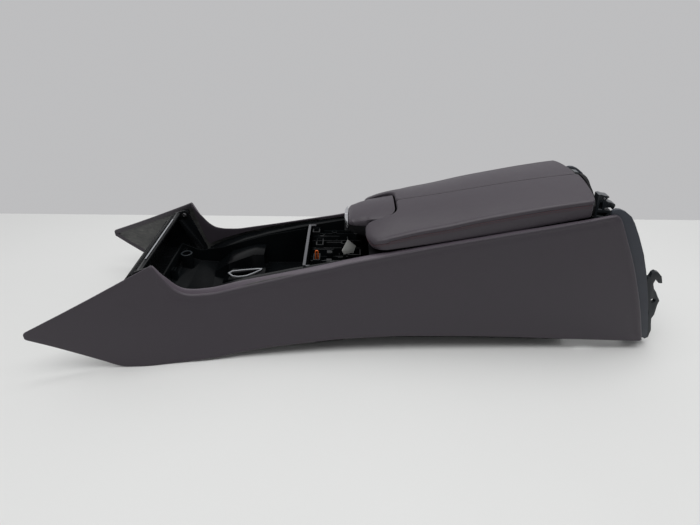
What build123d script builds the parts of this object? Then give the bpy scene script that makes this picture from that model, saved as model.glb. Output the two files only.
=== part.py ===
from build123d import *
import math
import os

# Car centre console: leather-wrapped side panels that flare into two pointed
# wings at the front, a black moulded carrier between them, and a split armrest
# whose two padded lids open outwards.
# Frame: +X towards the rear of the car, +Z up, Y = 0 is the centre plane.
# The car's left side panel is at -Y. Millimetres.

os.makedirs("parts", exist_ok=True)

# ---------------------------------------------------------------- dimensions
OX = -8.0                      # shift that centres the bounding box on X = 0
PANEL_T = 3.5                  # wrapped side panel wall
RIM_H = 5.0                    # depth of the rolled rim bead
WALL_IN = 80.0                 # inner face of the carrier's side walls, |Y|
WALL_T = 3.0                   # carrier wall
SKIRT_IN, SKIRT_OUT = 101.5, 104.5   # lower skirts that stand on the floor
LID_GAP = 0.6                  # half of the gap between the two lids
LID_OUT = 99.0                 # outer face of a lid, |Y|
CUT_Y = 50.0                   # inner edge of a lid's front cut-out, |Y|
CUT_X = 80.0                   # rear edge of the lids' front cut-out
LID_FRONT = 26.0
PLATE_T = 3.0                  # lid base plate
HINGE_Y = 95.0                 # hinge axis, |Y|
HINGE_PIN_R = 1.20
HINGE_BORE_R = 1.26
KNUCKLE_R = 2.2
LID_ANGLE = 65.0               # opening angle of each lid
BUTTON_TRAVEL = 2.5
PAWL_ANGLE = 12.0
BOLT_R = 3.3                   # floor bolts, M6 clearance
BOLT_X0, BOLT_X1, BOLT_Y = -262.0, 372.0, 62.0

PANEL_SCREWS = ((60, 92), (330, 120))

# Edge curves of a side panel, (x, value).
WT = [(-518, 188), (-318, 130), (-250, 124), (-180, 117), (-80, 110), (0, 105),
      (100, 105.5), (200, 107), (300, 109), (420, 112), (520, 114)]
WI = [(-318, 122), (-250, 114), (-180, 105), (-80, 98.7), (0, 93), (100, 94),
      (200, 96), (300, 98), (420, 100)]
WB = [(-518, 188), (-385, 163), (-350, 164), (-310, 156.5), (-250, 146),
      (-180, 137), (-80, 128), (0, 122), (100, 118), (200, 116), (300, 115), (520, 114)]
ZT = [(-517.5, 87.5), (-459, 113), (-415.6, 132.5), (-365, 156.1), (-318, 178.2),
      (-313, 168), (-298, 139.7), (-280, 123.5), (-268, 119.5), (-258.7, 118.6),
      (-226, 119.9), (-182, 129), (-130, 140.5), (-77.4, 152.2), (-33, 160.5),
      (0, 168.5), (50, 179.2), (143, 200), (238, 219), (320, 235.5), (388, 250.4),
      (408, 255.3)]
ZI = [(-318, 178.2), (-300.6, 151), (-281, 130), (-260, 125.8), (-227, 127.5),
      (-184, 136.6), (-143, 143.9), (-78, 155.9), (-33, 164.5), (0, 171.5),
      (26, 177.5), (52.6, 182.6), (145, 201.0), (222, 216), (272, 226),
      (303, 231.6), (384, 247.4), (408, 253.0)]
ZB = [(-518, 75.5), (-459.3, 41.2), (-393.7, 3.5), (-385, 0.8), (-378, 0),
      (-350, 0), (-311.6, 0.3), (-231.8, 4.1), (-190, 11), (-137, 17.2),
      (-66, 22.3), (-17.4, 26.2), (84, 29.2), (180, 28), (277.6, 25.6),
      (406, 19.8), (516.4, 15.7)]
REAR = [(414, 256.2), (418.5, 254.8), (422.5, 251), (428.1, 241.9), (441.7, 214),
        (459.6, 177.5), (477.5, 134.5), (497.6, 80.9), (514.5, 26.8)]
# lower edge of the wrap on the panel's inner face
ZRET = [(-318, 168), (-306, 128), (-294, 89), (-254, 107), (-209, 122.5),
        (-164, 135.5), (-94, 150.5), (-60, 157)]

# Lid surface, (x, z): seam on the centre line, outer crease, lower edge.
SEAM = [(26, 222), (46, 230), (80.6, 237.7), (103, 241.2), (160, 250.5), (266, 269.5),
        (330, 279.3), (382, 285.2), (394, 286.4)]
CREASE = [(26, 201), (46, 209.5), (54, 212.2), (67, 214.5), (80, 217.6), (103.5, 224.5), (144, 231.8),
          (175, 239.0), (205, 246.6), (236, 252.9), (267, 259.0), (297, 264.8), (330, 270.6),
          (365, 276.0), (382, 278.2), (394, 279.4)]
LOWER = [(26, 186), (52, 188.6), (143, 203.2), (270, 226.0), (382, 249.3), (394, 251.8)]


def lerp(x, tab):
    if x <= tab[0][0]:
        return tab[0][1]
    for (x0, y0), (x1, y1) in zip(tab, tab[1:]):
        if x <= x1:
            return y0 + (y1 - y0) * (x - x0) / (x1 - x0)
    return tab[-1][1]


def bx(x0, x1, y0, y1, z0, z1):
    return Pos((x0 + x1) / 2 + OX, (y0 + y1) / 2, (z0 + z1) / 2) * Box(
        abs(x1 - x0), abs(y1 - y0), abs(z1 - z0))


def prism_y(pts, y0, y1):
    """Side outline (x, z) pulled along Y."""
    face = Face(Wire.make_polygon([Vector(x + OX, y0, z) for x, z in pts], close=True))
    return Solid.extrude(face, Vector(0, y1 - y0, 0))


def prism_z(pts, z0, z1):
    """Plan outline (x, y) pulled along Z."""
    face = Face(Wire.make_polygon([Vector(x + OX, y, z0) for x, y in pts], close=True))
    return Solid.extrude(face, Vector(0, 0, z1 - z0))


def prism_x(pts, x0, x1):
    """Cross outline (y, z) pulled along X."""
    face = Face(Wire.make_polygon([Vector(x0 + OX, y, z) for y, z in pts], close=True))
    return Solid.extrude(face, Vector(x1 - x0, 0, 0))


def ruled(sections):
    """Ruled loft through cross sections [(x, [(y, z), ...]), ...]."""
    wires = [Wire.make_polygon([Vector(x + OX, y, z) for y, z in pts], close=True)
             for x, pts in sections]
    return Solid.make_loft(wires, ruled=True)


def cyl(p, d, r, length):
    """Cylinder from point p along direction d."""
    plane = Plane(origin=Vector(p[0] + OX, p[1], p[2]), z_dir=Vector(*d).normalized())
    return Solid.make_cylinder(r, length, plane)


def mirror_y(shape):
    return shape.mirror(Plane.XZ)


def grow(shape, *others):
    for other in others:
        shape = shape + other
    return shape


def save(name, *shapes):
    solids = []
    for s in shapes:
        solids.extend(s.solids())
    out = solids[0] if len(solids) == 1 else Compound(children=solids)
    out.label = name
    export_step(out, "parts/" + name + ".step")
    print(name, len(solids), round(sum(s.volume for s in solids)))


def sides(name, left):
    """Writes the left piece (-Y) and its mirror image."""
    save("left_" + name, left)
    save("right_" + name, mirror_y(left))


# ------------------------------------------------------------- side panels
def outer_y(x, z):
    """Outer face of the panel, |Y| at (x, z)."""
    zt = max(lerp(x, ZT), 100.0) if x < 408 else 257.0
    zb = 15.0 if x > -300 else 0.0
    wt, wb = lerp(x, WT), lerp(x, WB)
    return wb + (wt - wb) * (z - zb) / (zt - zb)


def panel():
    # pointed front wing
    wing_x = [-518, -459.3, -415.6, -393.7, -385, -365, -350, -333, -316]
    wing = ruled([(x, [(-outer_y(x, lerp(x, ZB)), lerp(x, ZB)), (-outer_y(x, lerp(x, ZT)), lerp(x, ZT)),
                       (-outer_y(x, lerp(x, ZT)) + PANEL_T, lerp(x, ZT)),
                       (-outer_y(x, lerp(x, ZB)) + PANEL_T, lerp(x, ZB))]) for x in wing_x])
    # wall with the rolled rim; the wrap turns down the inner face below the rim
    mid = []
    for x in [-316, -306, -298, -294, -281, -268, -258, -243, -226, -209, -182, -164, -130, -94,
              -78, -62, -33, 0, 50, 100, 143, 190, 238, 280, 320, 384, 407]:
        w, i = lerp(x, WT), lerp(x, WI)
        zt, zi, zb = lerp(x, ZT), lerp(x, ZI), lerp(x, ZB)
        low = min(zi, zt) - RIM_H
        zr = min(lerp(x, ZRET), low - 0.5)
        if x > -62:
            zr = low - 0.5
        yb = outer_y(x, zb)
        mid.append((x, [(-yb, zb), (-w, zt), (-w + 3.0, max(zt, zi) - 0.4), (-i - 1.2, zi),
                        (-i, zi - 1.6), (-i, zr), (-i - 2.5, zr), (-i - 2.5, low),
                        (-w + PANEL_T, low), (-yb + PANEL_T, zb)]))
    middle = ruled(mid)
    # rear corner and slanted rear edge
    slab = ruled([(x, [(-outer_y(x, 0), 0), (-outer_y(x, 290), 290), (-outer_y(x, 290) + PANEL_T, 290),
                       (-outer_y(x, 0) + PANEL_T, 0)]) for x in (407, 420, 530)])
    outline = [(407, lerp(407, ZT))] + REAR + [(516.4, 15.7), (407, lerp(407, ZB))]
    tail = slab & prism_y(outline, -220, -60)
    body = grow(wing, middle, tail)
    # screw bosses on the inner face
    for x, z in PANEL_SCREWS:
        y = outer_y(x, z)
        body = body + bx(x - 6, x + 6, -y + 1.0, -SKIRT_OUT - 0.6, z - 6, z + 6)
        body = body - cyl((x, -SKIRT_OUT, z), (0, -1, 0), 1.6, 7.6)
    return body


left_panel = panel()
sides("side_panel", left_panel)

# ------------------------------------------------------------- black carrier
FLANGE = [(-290, 84), (-254, 102), (-209, 118), (-164, 131), (-94, 146.5),
          (-11, 161.5), (40, 171)]
UPPER = [(40, 171), (120, 187), (200, 202), (300, 222), (392, 240)]


def flange_z(x):
    return lerp(x, FLANGE) if x <= 40 else lerp(x, UPPER)


wall_top = FLANGE + UPPER[1:]
wall = prism_y(wall_top + [(392, 22), (-290, 22)], -WALL_IN - WALL_T, -WALL_IN)
flange = ruled([(x, [(-WALL_IN, flange_z(x) - 2.5), (-WALL_IN, flange_z(x)),
                     (-lerp(x, WI) + 1.0, flange_z(x)), (-lerp(x, WI) + 1.0, flange_z(x) - 2.5)])
                for x in (-290, -254, -209, -164, -94, -11, 40)])
skirt = prism_y([(-137, 17), (-100, 8), (-60, 6), (-17, 12), (0, 15.5), (84, 18.5), (180, 18.5),
                 (277, 17), (340, 14.5), (405, 13), (405, 44), (-137, 44)],
                -SKIRT_OUT, -SKIRT_IN)
web = bx(-137, 392, -SKIRT_IN - 0.5, -WALL_IN, 38, 41)
gussets = [bx(x - 1.2, x + 1.2, -SKIRT_IN - 0.5, -WALL_IN - 1, 20, 38.5)
           for x in (-120, -20, 80, 180, 280, 380)]
# upright ribs that carry the panel screws
posts = [bx(x - 7, x + 7, -SKIRT_OUT, -WALL_IN - 1, z - 7, z + 7) for x, z in PANEL_SCREWS]
side = grow(wall, flange, skirt, web, *gussets, *posts)
for x, z in PANEL_SCREWS:
    side = side - cyl((x, -WALL_IN + 1, z), (0, -1, 0), 2.1, 40)
# holes for the rear frame's screws
side = side - cyl((380, -WALL_IN + 1, 207), (0, -1, 0), 2.1, 8)
floor_front = bx(-290, -82, -WALL_IN - 1, WALL_IN + 1, 46, 49)
floor_rear = bx(-82, 392, -WALL_IN - 1, WALL_IN + 1, 30, 33)
step = bx(-84, -80, -WALL_IN - 1, WALL_IN + 1, 30, 49)
cross = [bx(x, x + 2.4, -WALL_IN - 1, WALL_IN + 1, 22, 31) for x in (0, 120, 240, 388)]
carrier = grow(side, mirror_y(side), floor_front, floor_rear, step, *cross)
# harness pass-through and lightening holes in the two floors
carrier = carrier - bx(-250, -190, -26, 26, 40, 55) - bx(-60, -10, -40, 40, 25, 40)
# seats for the floor brackets' screws
for x in (BOLT_X0 + 26, BOLT_X1 - 30):
    for y in (-BOLT_Y, BOLT_Y):
        z = 46 if x < 0 else 30
        carrier = carrier - cyl((x, y, z - 1), (0, 0, 1), 2.1, 6)
save("console_carrier", carrier)

# ------------------------------------------------------------- front frame
# ladder that leans back between the wings, with cheeks screwed to them
CHEEK = 115.0
ladder = prism_y([(-345.5, 162), (-341.5, 160.5), (-341.5, 156), (-376, 121.5), (-376, 84),
                  (-379, 84), (-379.5, 122.5), (-346.5, 155.5), (-349.5, 160.5)], -CHEEK - 1, CHEEK + 1)
ribs = []
for y in (-111, -95, -79.5, -60, -40, -20, 0, 20, 40, 60, 79.5, 95, 111):
    ribs.append(prism_y([(-343, 158), (-350, 161), (-386, 125), (-386, 104), (-378, 92),
                         (-376, 121)], y - 1.0, y + 1.0))
rails = [prism_y([(-358, 152.5), (-360.5, 155), (-362, 153.5), (-359.5, 150.5), (-355, 146.2),
                  (-353.5, 147.6)], -CHEEK, CHEEK),
         prism_y([(-370, 140.5), (-372.5, 143), (-374, 141.5), (-371.5, 138.5), (-367, 134.2),
                  (-365.5, 135.6)], -CHEEK, CHEEK),
         prism_y([(-384, 127), (-386.5, 126), (-386.5, 122), (-380, 119), (-378, 121)], -CHEEK, CHEEK)]
cap = bx(-346.4, -344.0, -79.5, 79.5, 159.0, 163.6)
cheek = prism_y([(-352, 160), (-332, 166.5), (-325, 160), (-297, 84), (-297, 60), (-379, 60),
                 (-379, 124)], -CHEEK - 3, -CHEEK)
cheek_rib = prism_y([(-346, 146), (-339, 146), (-303, 84), (-303, 66), (-310, 66)], -CHEEK - 0.5, -CHEEK + 7)
foot = bx(-340, -294, -CHEEK - 0.5, -83.4, 56, 61) + bx(-340, -337, -CHEEK - 0.5, -83.4, 58, 90)
wing_pad = bx(-341, -327, -129.5, -CHEEK - 2, 150, 162)
end = grow(cheek, cheek_rib, foot, wing_pad)
end = end - cyl((-334, -CHEEK + 10, 156), (0, -1, 0), 2.1, 40)
# floor that closes the gap behind the ladder
apron = bx(-379.0, -337.2, -CHEEK - 1, CHEEK + 1, 80.0, 84.5) + bx(-339.4, -337.2, -CHEEK - 1, CHEEK + 1, 60.0, 84.0)
front_frame = grow(ladder, *ribs, *rails, cap, apron, end, mirror_y(end))
save("front_cross_frame", front_frame)

# ------------------------------------------------------------- selector well
well_out = ruled([(x, [(-79.6, zb), (-79.6, z), (79.6, z), (79.6, zb)]) for x, z, zb in
                  [(-336, 112, 82), (-300, 96, 70), (-254, 103, 66), (-209, 117, 66),
                   (-164, 130, 66), (-86, 144, 66)]])
well_in = ruled([(x, [(-77.2, zf), (-77.2, z + 20), (77.2, z + 20), (77.2, zf)]) for x, z, zf in
                 [(-333.5, 113, 84), (-300, 96, 72.5), (-254, 103, 68.5), (-209, 117, 68.5),
                  (-164, 130, 68.5), (-88.5, 144, 68.5)]])
well = well_out - well_in
# raised duct that climbs towards the partition
duct = ruled([(-262, [(18, 68), (26, 76), (66, 76), (72, 68)]),
              (-231, [(8, 68), (16, 100), (66, 102), (72, 68)]),
              (-184, [(20, 68), (30, 112), (68, 114), (74, 68)]),
              (-165, [(20, 68), (30, 112), (68, 114), (74, 68)])])
duct = duct - bx(-196, -160, 36, 64, 72, 106)
# pedestal with the pointed oval slot
pedestal = ruled([(-236, [(-30, 68), (-26, 84), (2, 84), (6, 68)]),
                  (-222, [(-42, 68), (-36, 96), (6, 96), (10, 68)]),
                  (-158, [(-42, 68), (-36, 98), (6, 98), (10, 68)])])
pedestal = pedestal - bx(-218, -161, -33, 3, 60, 92)
slot_cut = prism_z([(-221.4, -18.9), (-217.3, -13.3), (-195.5, -8.9), (-172.1, -5.0), (-168.2, -5.2), (-168.4, -6.2), (-181.9, -19.7), (-191.2, -26.9), (-204.3, -29.9), (-213.8, -27.4)],
                   74, 110)
ring_boss = cyl((-318, 45, 71), (0, 0, 1), 11, 36) - cyl((-318, 45, 81), (0, 0, 1), 8.0, 40)
lugs = [bx(-331, -323, y - 6, y + 6, 79, 104) - bx(-329, -325, y - 4, y + 4, 86, 110) for y in (-50, -10, 67)]
well = grow(well, duct, pedestal - slot_cut, ring_boss, *lugs)
well = well - bx(-214, -166, -24, -6, 60, 72)
well = well - bx(-89, -85, -77.2, 77.2, 69.5, 160)
save("selector_well", well)

bezel_o = prism_z([(-225.4, -19.1), (-219.0, -10.5), (-196.1, -5.8), (-172.3, -1.9), (-164.2, -2.4), (-165.6, -7.8), (-179.9, -22.0), (-189.8, -29.7), (-204.3, -33.1), (-215.5, -30.2)],
                  98.3, 100.6)
bezel_i = prism_z([(-222.6, -18.9), (-217.8, -12.5), (-195.7, -8.0), (-172.1, -4.1), (-167.0, -4.4), (-167.6, -6.6), (-181.3, -20.4), (-190.8, -27.7), (-204.3, -30.9), (-214.3, -28.2)],
                  95, 105)
save("slot_bezel", bezel_o - bezel_i)

# ------------------------------------------------------------- partition
save("partition_plate", bx(-79.6, -76.6, -79.5, 79.5, 49.2, 149.0))
save("partition_trim", bx(-80.6, -75.6, -79.5, 79.5, 149.0, 152.0)
     + bx(-74.0, -69.0, -79.5, -76.5, 147.0, 150.0) + bx(-76.0, -73.0, -79.5, -76.5, 149.0, 150.0)
     + bx(-76.0, -66.0, 76.5, 79.5, 149.0, 152.0))

# ------------------------------------------------------------- rear bay
# ribbed module bracket between the partition and the armrest
module = bx(-74, 24, -79.0, 79.0, 112, 115)
for y, h in ((-70, 127), (-48, 124), (-26, 130), (-4, 127), (18, 133), (40, 137), (62, 141)):
    module = module + bx(-72, 22, y - 1, y + 1, 114, h)
for y, x0, x1, h in ((-15, -22, -13, 131), (7, -70, -30, 136), (29, -44, 6, 139), (51, -70, -20, 141), (71, -50, 0, 143)):
    module = module + bx(x0, x1, y - 0.9, y + 0.9, 114, h)
module = module + bx(-12.5, -7.5, -12.5, -7.5, 114, 134.3)
for x, h in ((-66, 119), (-46, 121), (-20, 122), (8, 124)):
    module = module + bx(x - 1, x + 1, -78, 78, 114, h)
for x, y, r, h in ((-56, 58, 7, 141), (-30, 66, 6, 144), (-10, 30, 8, 139), (12, 56, 6, 146),
                   (-30, -60, 6, 145), (10, -62, 7, 142)):
    module = module + cyl((x, y, 114), (0, 0, 1), r, h - 114) - cyl((x, y, 120), (0, 0, 1), r - 2.4, 40)
for x0, x1, y0, y1, h in ((-64, -50, 20, 50, 138), (-26, -4, 44, 76, 135), (-4, 20, -6, 22, 131),
                          (-72, -58, 56, 78, 147), (2, 20, 66, 78, 150)):
    module = module + (bx(x0, x1, y0, y1, 114, h) - bx(x0 + 2, x1 - 2, y0 + 2, y1 - 2, 118, h + 2))
legs = [bx(x0, x1, y0, y1, 33.2, 113) for x0, x1, y0, y1 in
        ((-74, -68, -79, -73), (-74, -68, 73, 79), (18, 24, -79, -73), (18, 24, 73, 79))]
module = grow(module, *legs) - bx(-67.2, -52.8, -36, -10, 108, 160)
save("module_bracket", module)

socket = bx(-66.4, -53.6, -35.2, -10.8, 106, 137) - bx(-64, -56, -33, -13, 127, 140)
socket = socket + bx(-60.5, -59.5, -33.5, -12.5, 120, 134)
save("harness_socket", socket)


def wire(points, radii, r):
    path = FilletPolyline(*[Vector(x + OX, y, z) for x, y, z in points], radius=radii)
    start = Plane(origin=path @ 0, z_dir=path % 0)
    return sweep(start * Circle(r), path=path)


save("harness_wire",
     wire([(-62.3, -20, 127.1), (-62.3, -20, 147.0), (-57.7, -20, 147.0), (-57.7, -20, 127.1)], [2.2, 2.2], 1.2))
save("harness_plug", bx(-42.5, -32.5, -9.5, 1.5, 127.1, 137.0),
     bx(-42.5, -32.5, -41.5, -30.5, 115.1, 137.0))

# small plain tag that stands on a post of the bracket
tag_face = prism_y([(-4.1, 164.3), (10.9, 151.5), (6.4, 137.7), (-11.9, 134.4), (-14.8, 142.3)], -10.5, -9.5)
save("blank_tag", tag_face)

# ------------------------------------------------------------- armrest box
bin_out = ruled([(92, [(-74, 60), (-74, 178), (74, 178), (74, 60)]),
                 (376, [(-74, 60), (-74, 232), (74, 232), (74, 60)])])
bin_in = ruled([(94.5, [(-71.5, 62.5), (-71.5, 260), (71.5, 260), (71.5, 62.5)]),
                (373.5, [(-71.5, 62.5), (-71.5, 260), (71.5, 260), (71.5, 62.5)])])
box_ = bin_out - bin_in
box_feet = [bx(x, x + 3, -60, 60, 33.2, 61) for x in (130, 230, 330)]
save("storage_bin", grow(box_, *box_feet))
save("bin_mat", bx(96, 372, -70.5, 70.5, 62.7, 64.7))

# armrest base: frame round the box mouth that carries the hinges
BASE = [(32, 168), (60, 174.5), (120, 186.5), (200, 202), (300, 222), (388, 240.5)]
def base_slab(lo, hi, half):
    return ruled([(x, [(-half, z + lo), (-half, z + hi), (half, z + hi), (half, z + lo)]) for x, z in BASE])


base = base_slab(2.6, 6.0, 90.5) - bx(92.0, 376.0, -74.3, 74.3, 150, 280)
# collar that locates the box
collar = (base_slab(-8.0, 3.5, 77.0) - base_slab(-20.0, 20.0, 74.3)) & bx(88.5, 379.5, -80, 80, 150, 280)
collar = grow(collar, *[base_slab(-8.0, 3.5, 77.0) & bx(x - 1.5, x + 1.5, -80, 80, 150, 280) for x in (90.0, 378.0)])
base = grow(base, collar)


HX0, HX1 = 96.0, 326.0                     # hinge centres along X
HZ0, HZ1 = lerp(HX0, LOWER) + 3.0, lerp(HX1, LOWER) + 3.0
SLOPE = (HZ1 - HZ0) / (HX1 - HX0)
UX, UZ = 1.0, SLOPE


def hinge_z(x):
    return HZ0 + (x - HX0) * SLOPE


HINGES = ((HX0, 10.0), (HX1, 10.0))        # centre x of each hinge, half width
KN = math.sqrt(1 + SLOPE ** 2)
# arms reach out from the base to the hinge pins
for xc, hw in HINGES:
    for x0, x1 in ((xc - hw, xc - hw + 5.0), (xc + hw - 5.0, xc + hw)):
        zc = hinge_z((x0 + x1) / 2)
        zb = lerp(x0, BASE) + 4.5
        arm = prism_x([(-HINGE_Y, zc + 1.3), (-HINGE_Y, zc - 1.3), (-90.2, zc - 1.5), (-90.2, zb),
                       (-85.4, zb), (-85.4, zc + 1.3)], x0, x1)
        knuckle = cyl((x0, -HINGE_Y, hinge_z(x0)), (UX, 0, UZ), KNUCKLE_R, (x1 - x0) * KN)
        bore = cyl((x0 - 3, -HINGE_Y, hinge_z(x0 - 3)), (UX, 0, UZ), HINGE_PIN_R + 0.01, 14)
        piece = grow(arm, knuckle) - bore
        base = grow(base, piece, mirror_y(piece))
save("armrest_base", base)

pins = [cyl((xc - hw + 0.3, -HINGE_Y, hinge_z(xc - hw + 0.3)), (UX, 0, UZ), HINGE_PIN_R, (2 * hw - 0.6) * KN)
        for xc, hw in HINGES]
save("left_hinge_pins", *pins)
save("right_hinge_pins", *[mirror_y(p) for p in pins])

# ------------------------------------------------------------- lids
FULL = [(38, 2.2), (54, 2.7), (80, 2.8), (110, 2.2)]   # how full a lid's cross section is


def lid_top(x, y):
    s, c = lerp(x, SEAM), lerp(x, CREASE)
    return s - (s - c) * (min(abs(y), 90.0) / 90.0) ** lerp(x, FULL)


def lid_half(x, inner, outer_scale=0.0, base_lift=0.0, drop=0.0):
    lo = lerp(x, LOWER) + base_lift
    out = LID_OUT
    if x < 50:
        out = 74 + 25 * math.sin(math.acos(max(0.0, min(1.0, (50 - x) / 25.0))))
    t = []
    ys = [inner, inner + (88 - inner) * 0.4, inner + (88 - inner) * 0.75, 88.0] if out > 95 else \
         [inner, inner + (out - 8 - inner) * 0.4, inner + (out - 8 - inner) * 0.75, out - 8]
    front_drop = 0.0
    if x < 46:
        front_drop = 12.0 * (1 - math.sqrt(max(0.0, 1 - ((46 - x) / 21.0) ** 2)))
    top = [(-y, lid_top(x, y) - drop - front_drop) for y in ys]
    zc = top[-1][1]
    wall_z = max(lo + 6.0, zc - 8.0)
    pts = [(-inner, lo)] + top + [(-(out - 2.4), (zc + wall_z) / 2 + 1.2), (-out, wall_z), (-out, lo + 3.0),
                                  (-(out - 0.45), lo + 1.5), (-(out - 1.6), lo)]
    return pts


# rear edge of a lid's leather, outline of the lip behind it and the lip's top, by |y|
REAR_Y = (0.0, 8.0, 20.0, 35.0, 50.0, 65.0, 78.0, 88.0, 95.0)
LID_EDGE = {"left": (388.8, 388.8, 388.8, 388.0, 387.0, 385.8, 384.6, 383.2, 381.5),
            "right": (385.6, 385.6, 385.4, 385.0, 384.6, 384.1, 383.6, 382.8, 381.5)}
LIP_EDGE = {"left": (394.6, 396.0, 395.8, 393.4, 390.8, 389.4, 387.7, 386.4, 384.5),
            "right": (388.6, 388.8, 388.6, 388.2, 387.8, 387.3, 386.8, 386.0, 384.5)}
LIP_TOP = {"left": (286.2, 286.4, 286.4, 286.0, 283.0, 279.3, 275.0, 270.5, 266.0),
           "right": (283.4, 283.4, 283.2, 282.6, 281.0, 277.6, 272.8, 268.0, 264.0)}


CORNER_R = 21.0                # plan radius of the cut-out's rear corners


def behind_cut(x):
    """Room for the nose block, its walls square to the hinge axis and its rear corner rounded."""
    arc = [(x - CORNER_R + CORNER_R * math.cos(math.radians(a)), -CUT_Y + CORNER_R - CORNER_R * math.sin(math.radians(a)))
           for a in range(0, 91, 10)]
    dx = (237.4 - 150.0) * SLOPE
    pts = [(20.0, 1.0), (x, 1.0)] + arc + [(20.0, -CUT_Y)]
    face = Face(Wire.make_polygon([Vector(px + OX + dx, py, 150.0) for px, py in pts], close=True))
    return Solid.extrude(face, Vector(-115.0 * SLOPE, 0, 115.0))


def lid_pad(side):
    rear = ruled([(x, lid_half(x, LID_GAP, base_lift=0.0)) for x in
                  (54, 60, 67, 73, CUT_X, 90, 103, 116, 130, 160, 205, 236, 267, 297, 330, 365, 382, 394)])
    front = ruled([(x, lid_half(x, CUT_Y)) for x in (LID_FRONT, 29, 33, 38, 44, 50, 54)])
    pad = grow(rear, front) - behind_cut(CUT_X)
    bow = [(0, 2.0), (LID_EDGE[side][0], 2.0)] + [(x, -y) for x, y in zip(LID_EDGE[side], REAR_Y)] \
        + [(381.5, -120.0), (0, -120.0)]
    pad = pad & prism_z(bow, 100, 320)
    # recess under the pad for the base plate
    pts = [(34, -CUT_Y - 2.5), (CUT_X + 10.4, -CUT_Y - 2.5), (CUT_X + 10.4, -LID_GAP - 3.0), (396, -LID_GAP - 3.0),
           (396, -LID_OUT + 4.0), (54, -LID_OUT + 4.0), (40, -86), (34, -72)]
    slab = ruled([(x, [(-110, lerp(x, LOWER) - 12), (-110, lerp(x, LOWER) + PLATE_T), (10, lerp(x, LOWER) + PLATE_T),
                       (10, lerp(x, LOWER) - 12)]) for x in [26, 52, 143, 270, 382]]
                 + [(398, [(-110, 237.3), (-110, 251.8 + PLATE_T), (10, 251.8 + PLATE_T), (10, 237.3)])])
    recess = slab & prism_z(pts, 150, 300)
    return pad - recess


def lid_plate(side):
    pts = [(34.3, -CUT_Y - 2.8), (CUT_X + 10.7, -CUT_Y - 2.8), (CUT_X + 10.7, -LID_GAP - 3.3), (381.9, -LID_GAP - 3.3),
           (381.9, -LID_OUT + 4.3), (54.2, -LID_OUT + 4.3), (40.3, -86), (34.3, -72)]
    slab = ruled([(x, [(-110, lerp(x, LOWER)), (-110, lerp(x, LOWER) + PLATE_T - 0.1), (10, lerp(x, LOWER) + PLATE_T - 0.1),
                       (10, lerp(x, LOWER))]) for x in [26, 52, 143, 270, 382]])
    plate = slab & prism_z(pts, 150, 300)
    # stiffening ribs underneath
    for x in (150, 220, 290):
        z = lerp(x, LOWER)
        plate = plate + bx(x - 1, x + 1, -66, -8, z - 2.0, z + 1)
    # rear lip that follows the pad's rear face
    lip = prism_x([(-LID_GAP - 0.4, 247.2), (-LID_GAP - 0.4, LIP_TOP[side][0])]
                  + [(-y, z) for y, z in zip(REAR_Y[1:], LIP_TOP[side][1:])]
                  + [(-95, 250), (-90, 247.2)], 370.0, 400.0)
    strip = [(x + 0.5, -y) for x, y in zip(LID_EDGE[side], REAR_Y)] \
        + [(x, -y) for x, y in zip(LIP_EDGE[side][::-1], REAR_Y[::-1])]
    lip = lip & prism_z(strip, 200, 320)
    lip = lip + bx(378.0, 385.0, -88, -48, 248.8, 251.2) + bx(378.0, LIP_EDGE[side][4] - 1.0, -50, -8, 248.8, 251.2)
    plate = plate + lip
    # pockets for the hinge arms, and the leaf that turns on each pin
    for xc, hw in HINGES:
        zc = hinge_z(xc)
        plate = plate - bx(xc - hw - 0.7, xc + hw + 0.7, -LID_OUT - 1, -84.6, zc - 12, zc + 14)
        leaf_x0, leaf_x1 = xc - hw + 5.4, xc + hw - 5.4
        leaf = prism_x([(-HINGE_Y, zc - 0.2), (-HINGE_Y, zc - 1.9), (-83.0, zc - 2.6), (-83.0, zc - 1.1)], leaf_x0, leaf_x1)
        knuckle = cyl((leaf_x0, -HINGE_Y, hinge_z(leaf_x0)), (UX, 0, UZ), KNUCKLE_R, (leaf_x1 - leaf_x0) * KN)
        bore = cyl((leaf_x0 - 3, -HINGE_Y, hinge_z(leaf_x0 - 3)), (UX, 0, UZ), HINGE_BORE_R, 30)
        plate = grow(plate, leaf, knuckle) - bore
    return plate


def pocketed_pad(side):
    """Pad with its pockets over the hinges."""
    pad = lid_pad(side)
    for xc, hw in HINGES:
        zc = hinge_z(xc)
        pad = pad - bx(xc - hw - 0.7, xc + hw + 0.7, -HINGE_Y - KNUCKLE_R - 0.5, -84.6, zc - 12, zc + 4.4)
    return pad


save("left_lid_pad", pocketed_pad("left"))
save("right_lid_pad", mirror_y(pocketed_pad("right")))
save("left_lid_plate", lid_plate("left"))
save("right_lid_plate", mirror_y(lid_plate("right")))

# striker plate with a window, under the inner front corner of each lid
zs = lerp(88.8, LOWER)
striker = bx(88.8, 90.4, -19.6, -12.4, 187.9, zs - 0.1) - bx(87, 93, -18.2, -13.8, 189.7, 192.7)
flange = prism_y([(88.8, zs - 1.3), (99.0, lerp(99, LOWER) - 1.3), (99.0, lerp(99, LOWER) - 0.04), (88.8, zs - 0.04)],
                 -19.6, -12.4)
striker = striker + flange
sides("lid_striker", striker)

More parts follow.
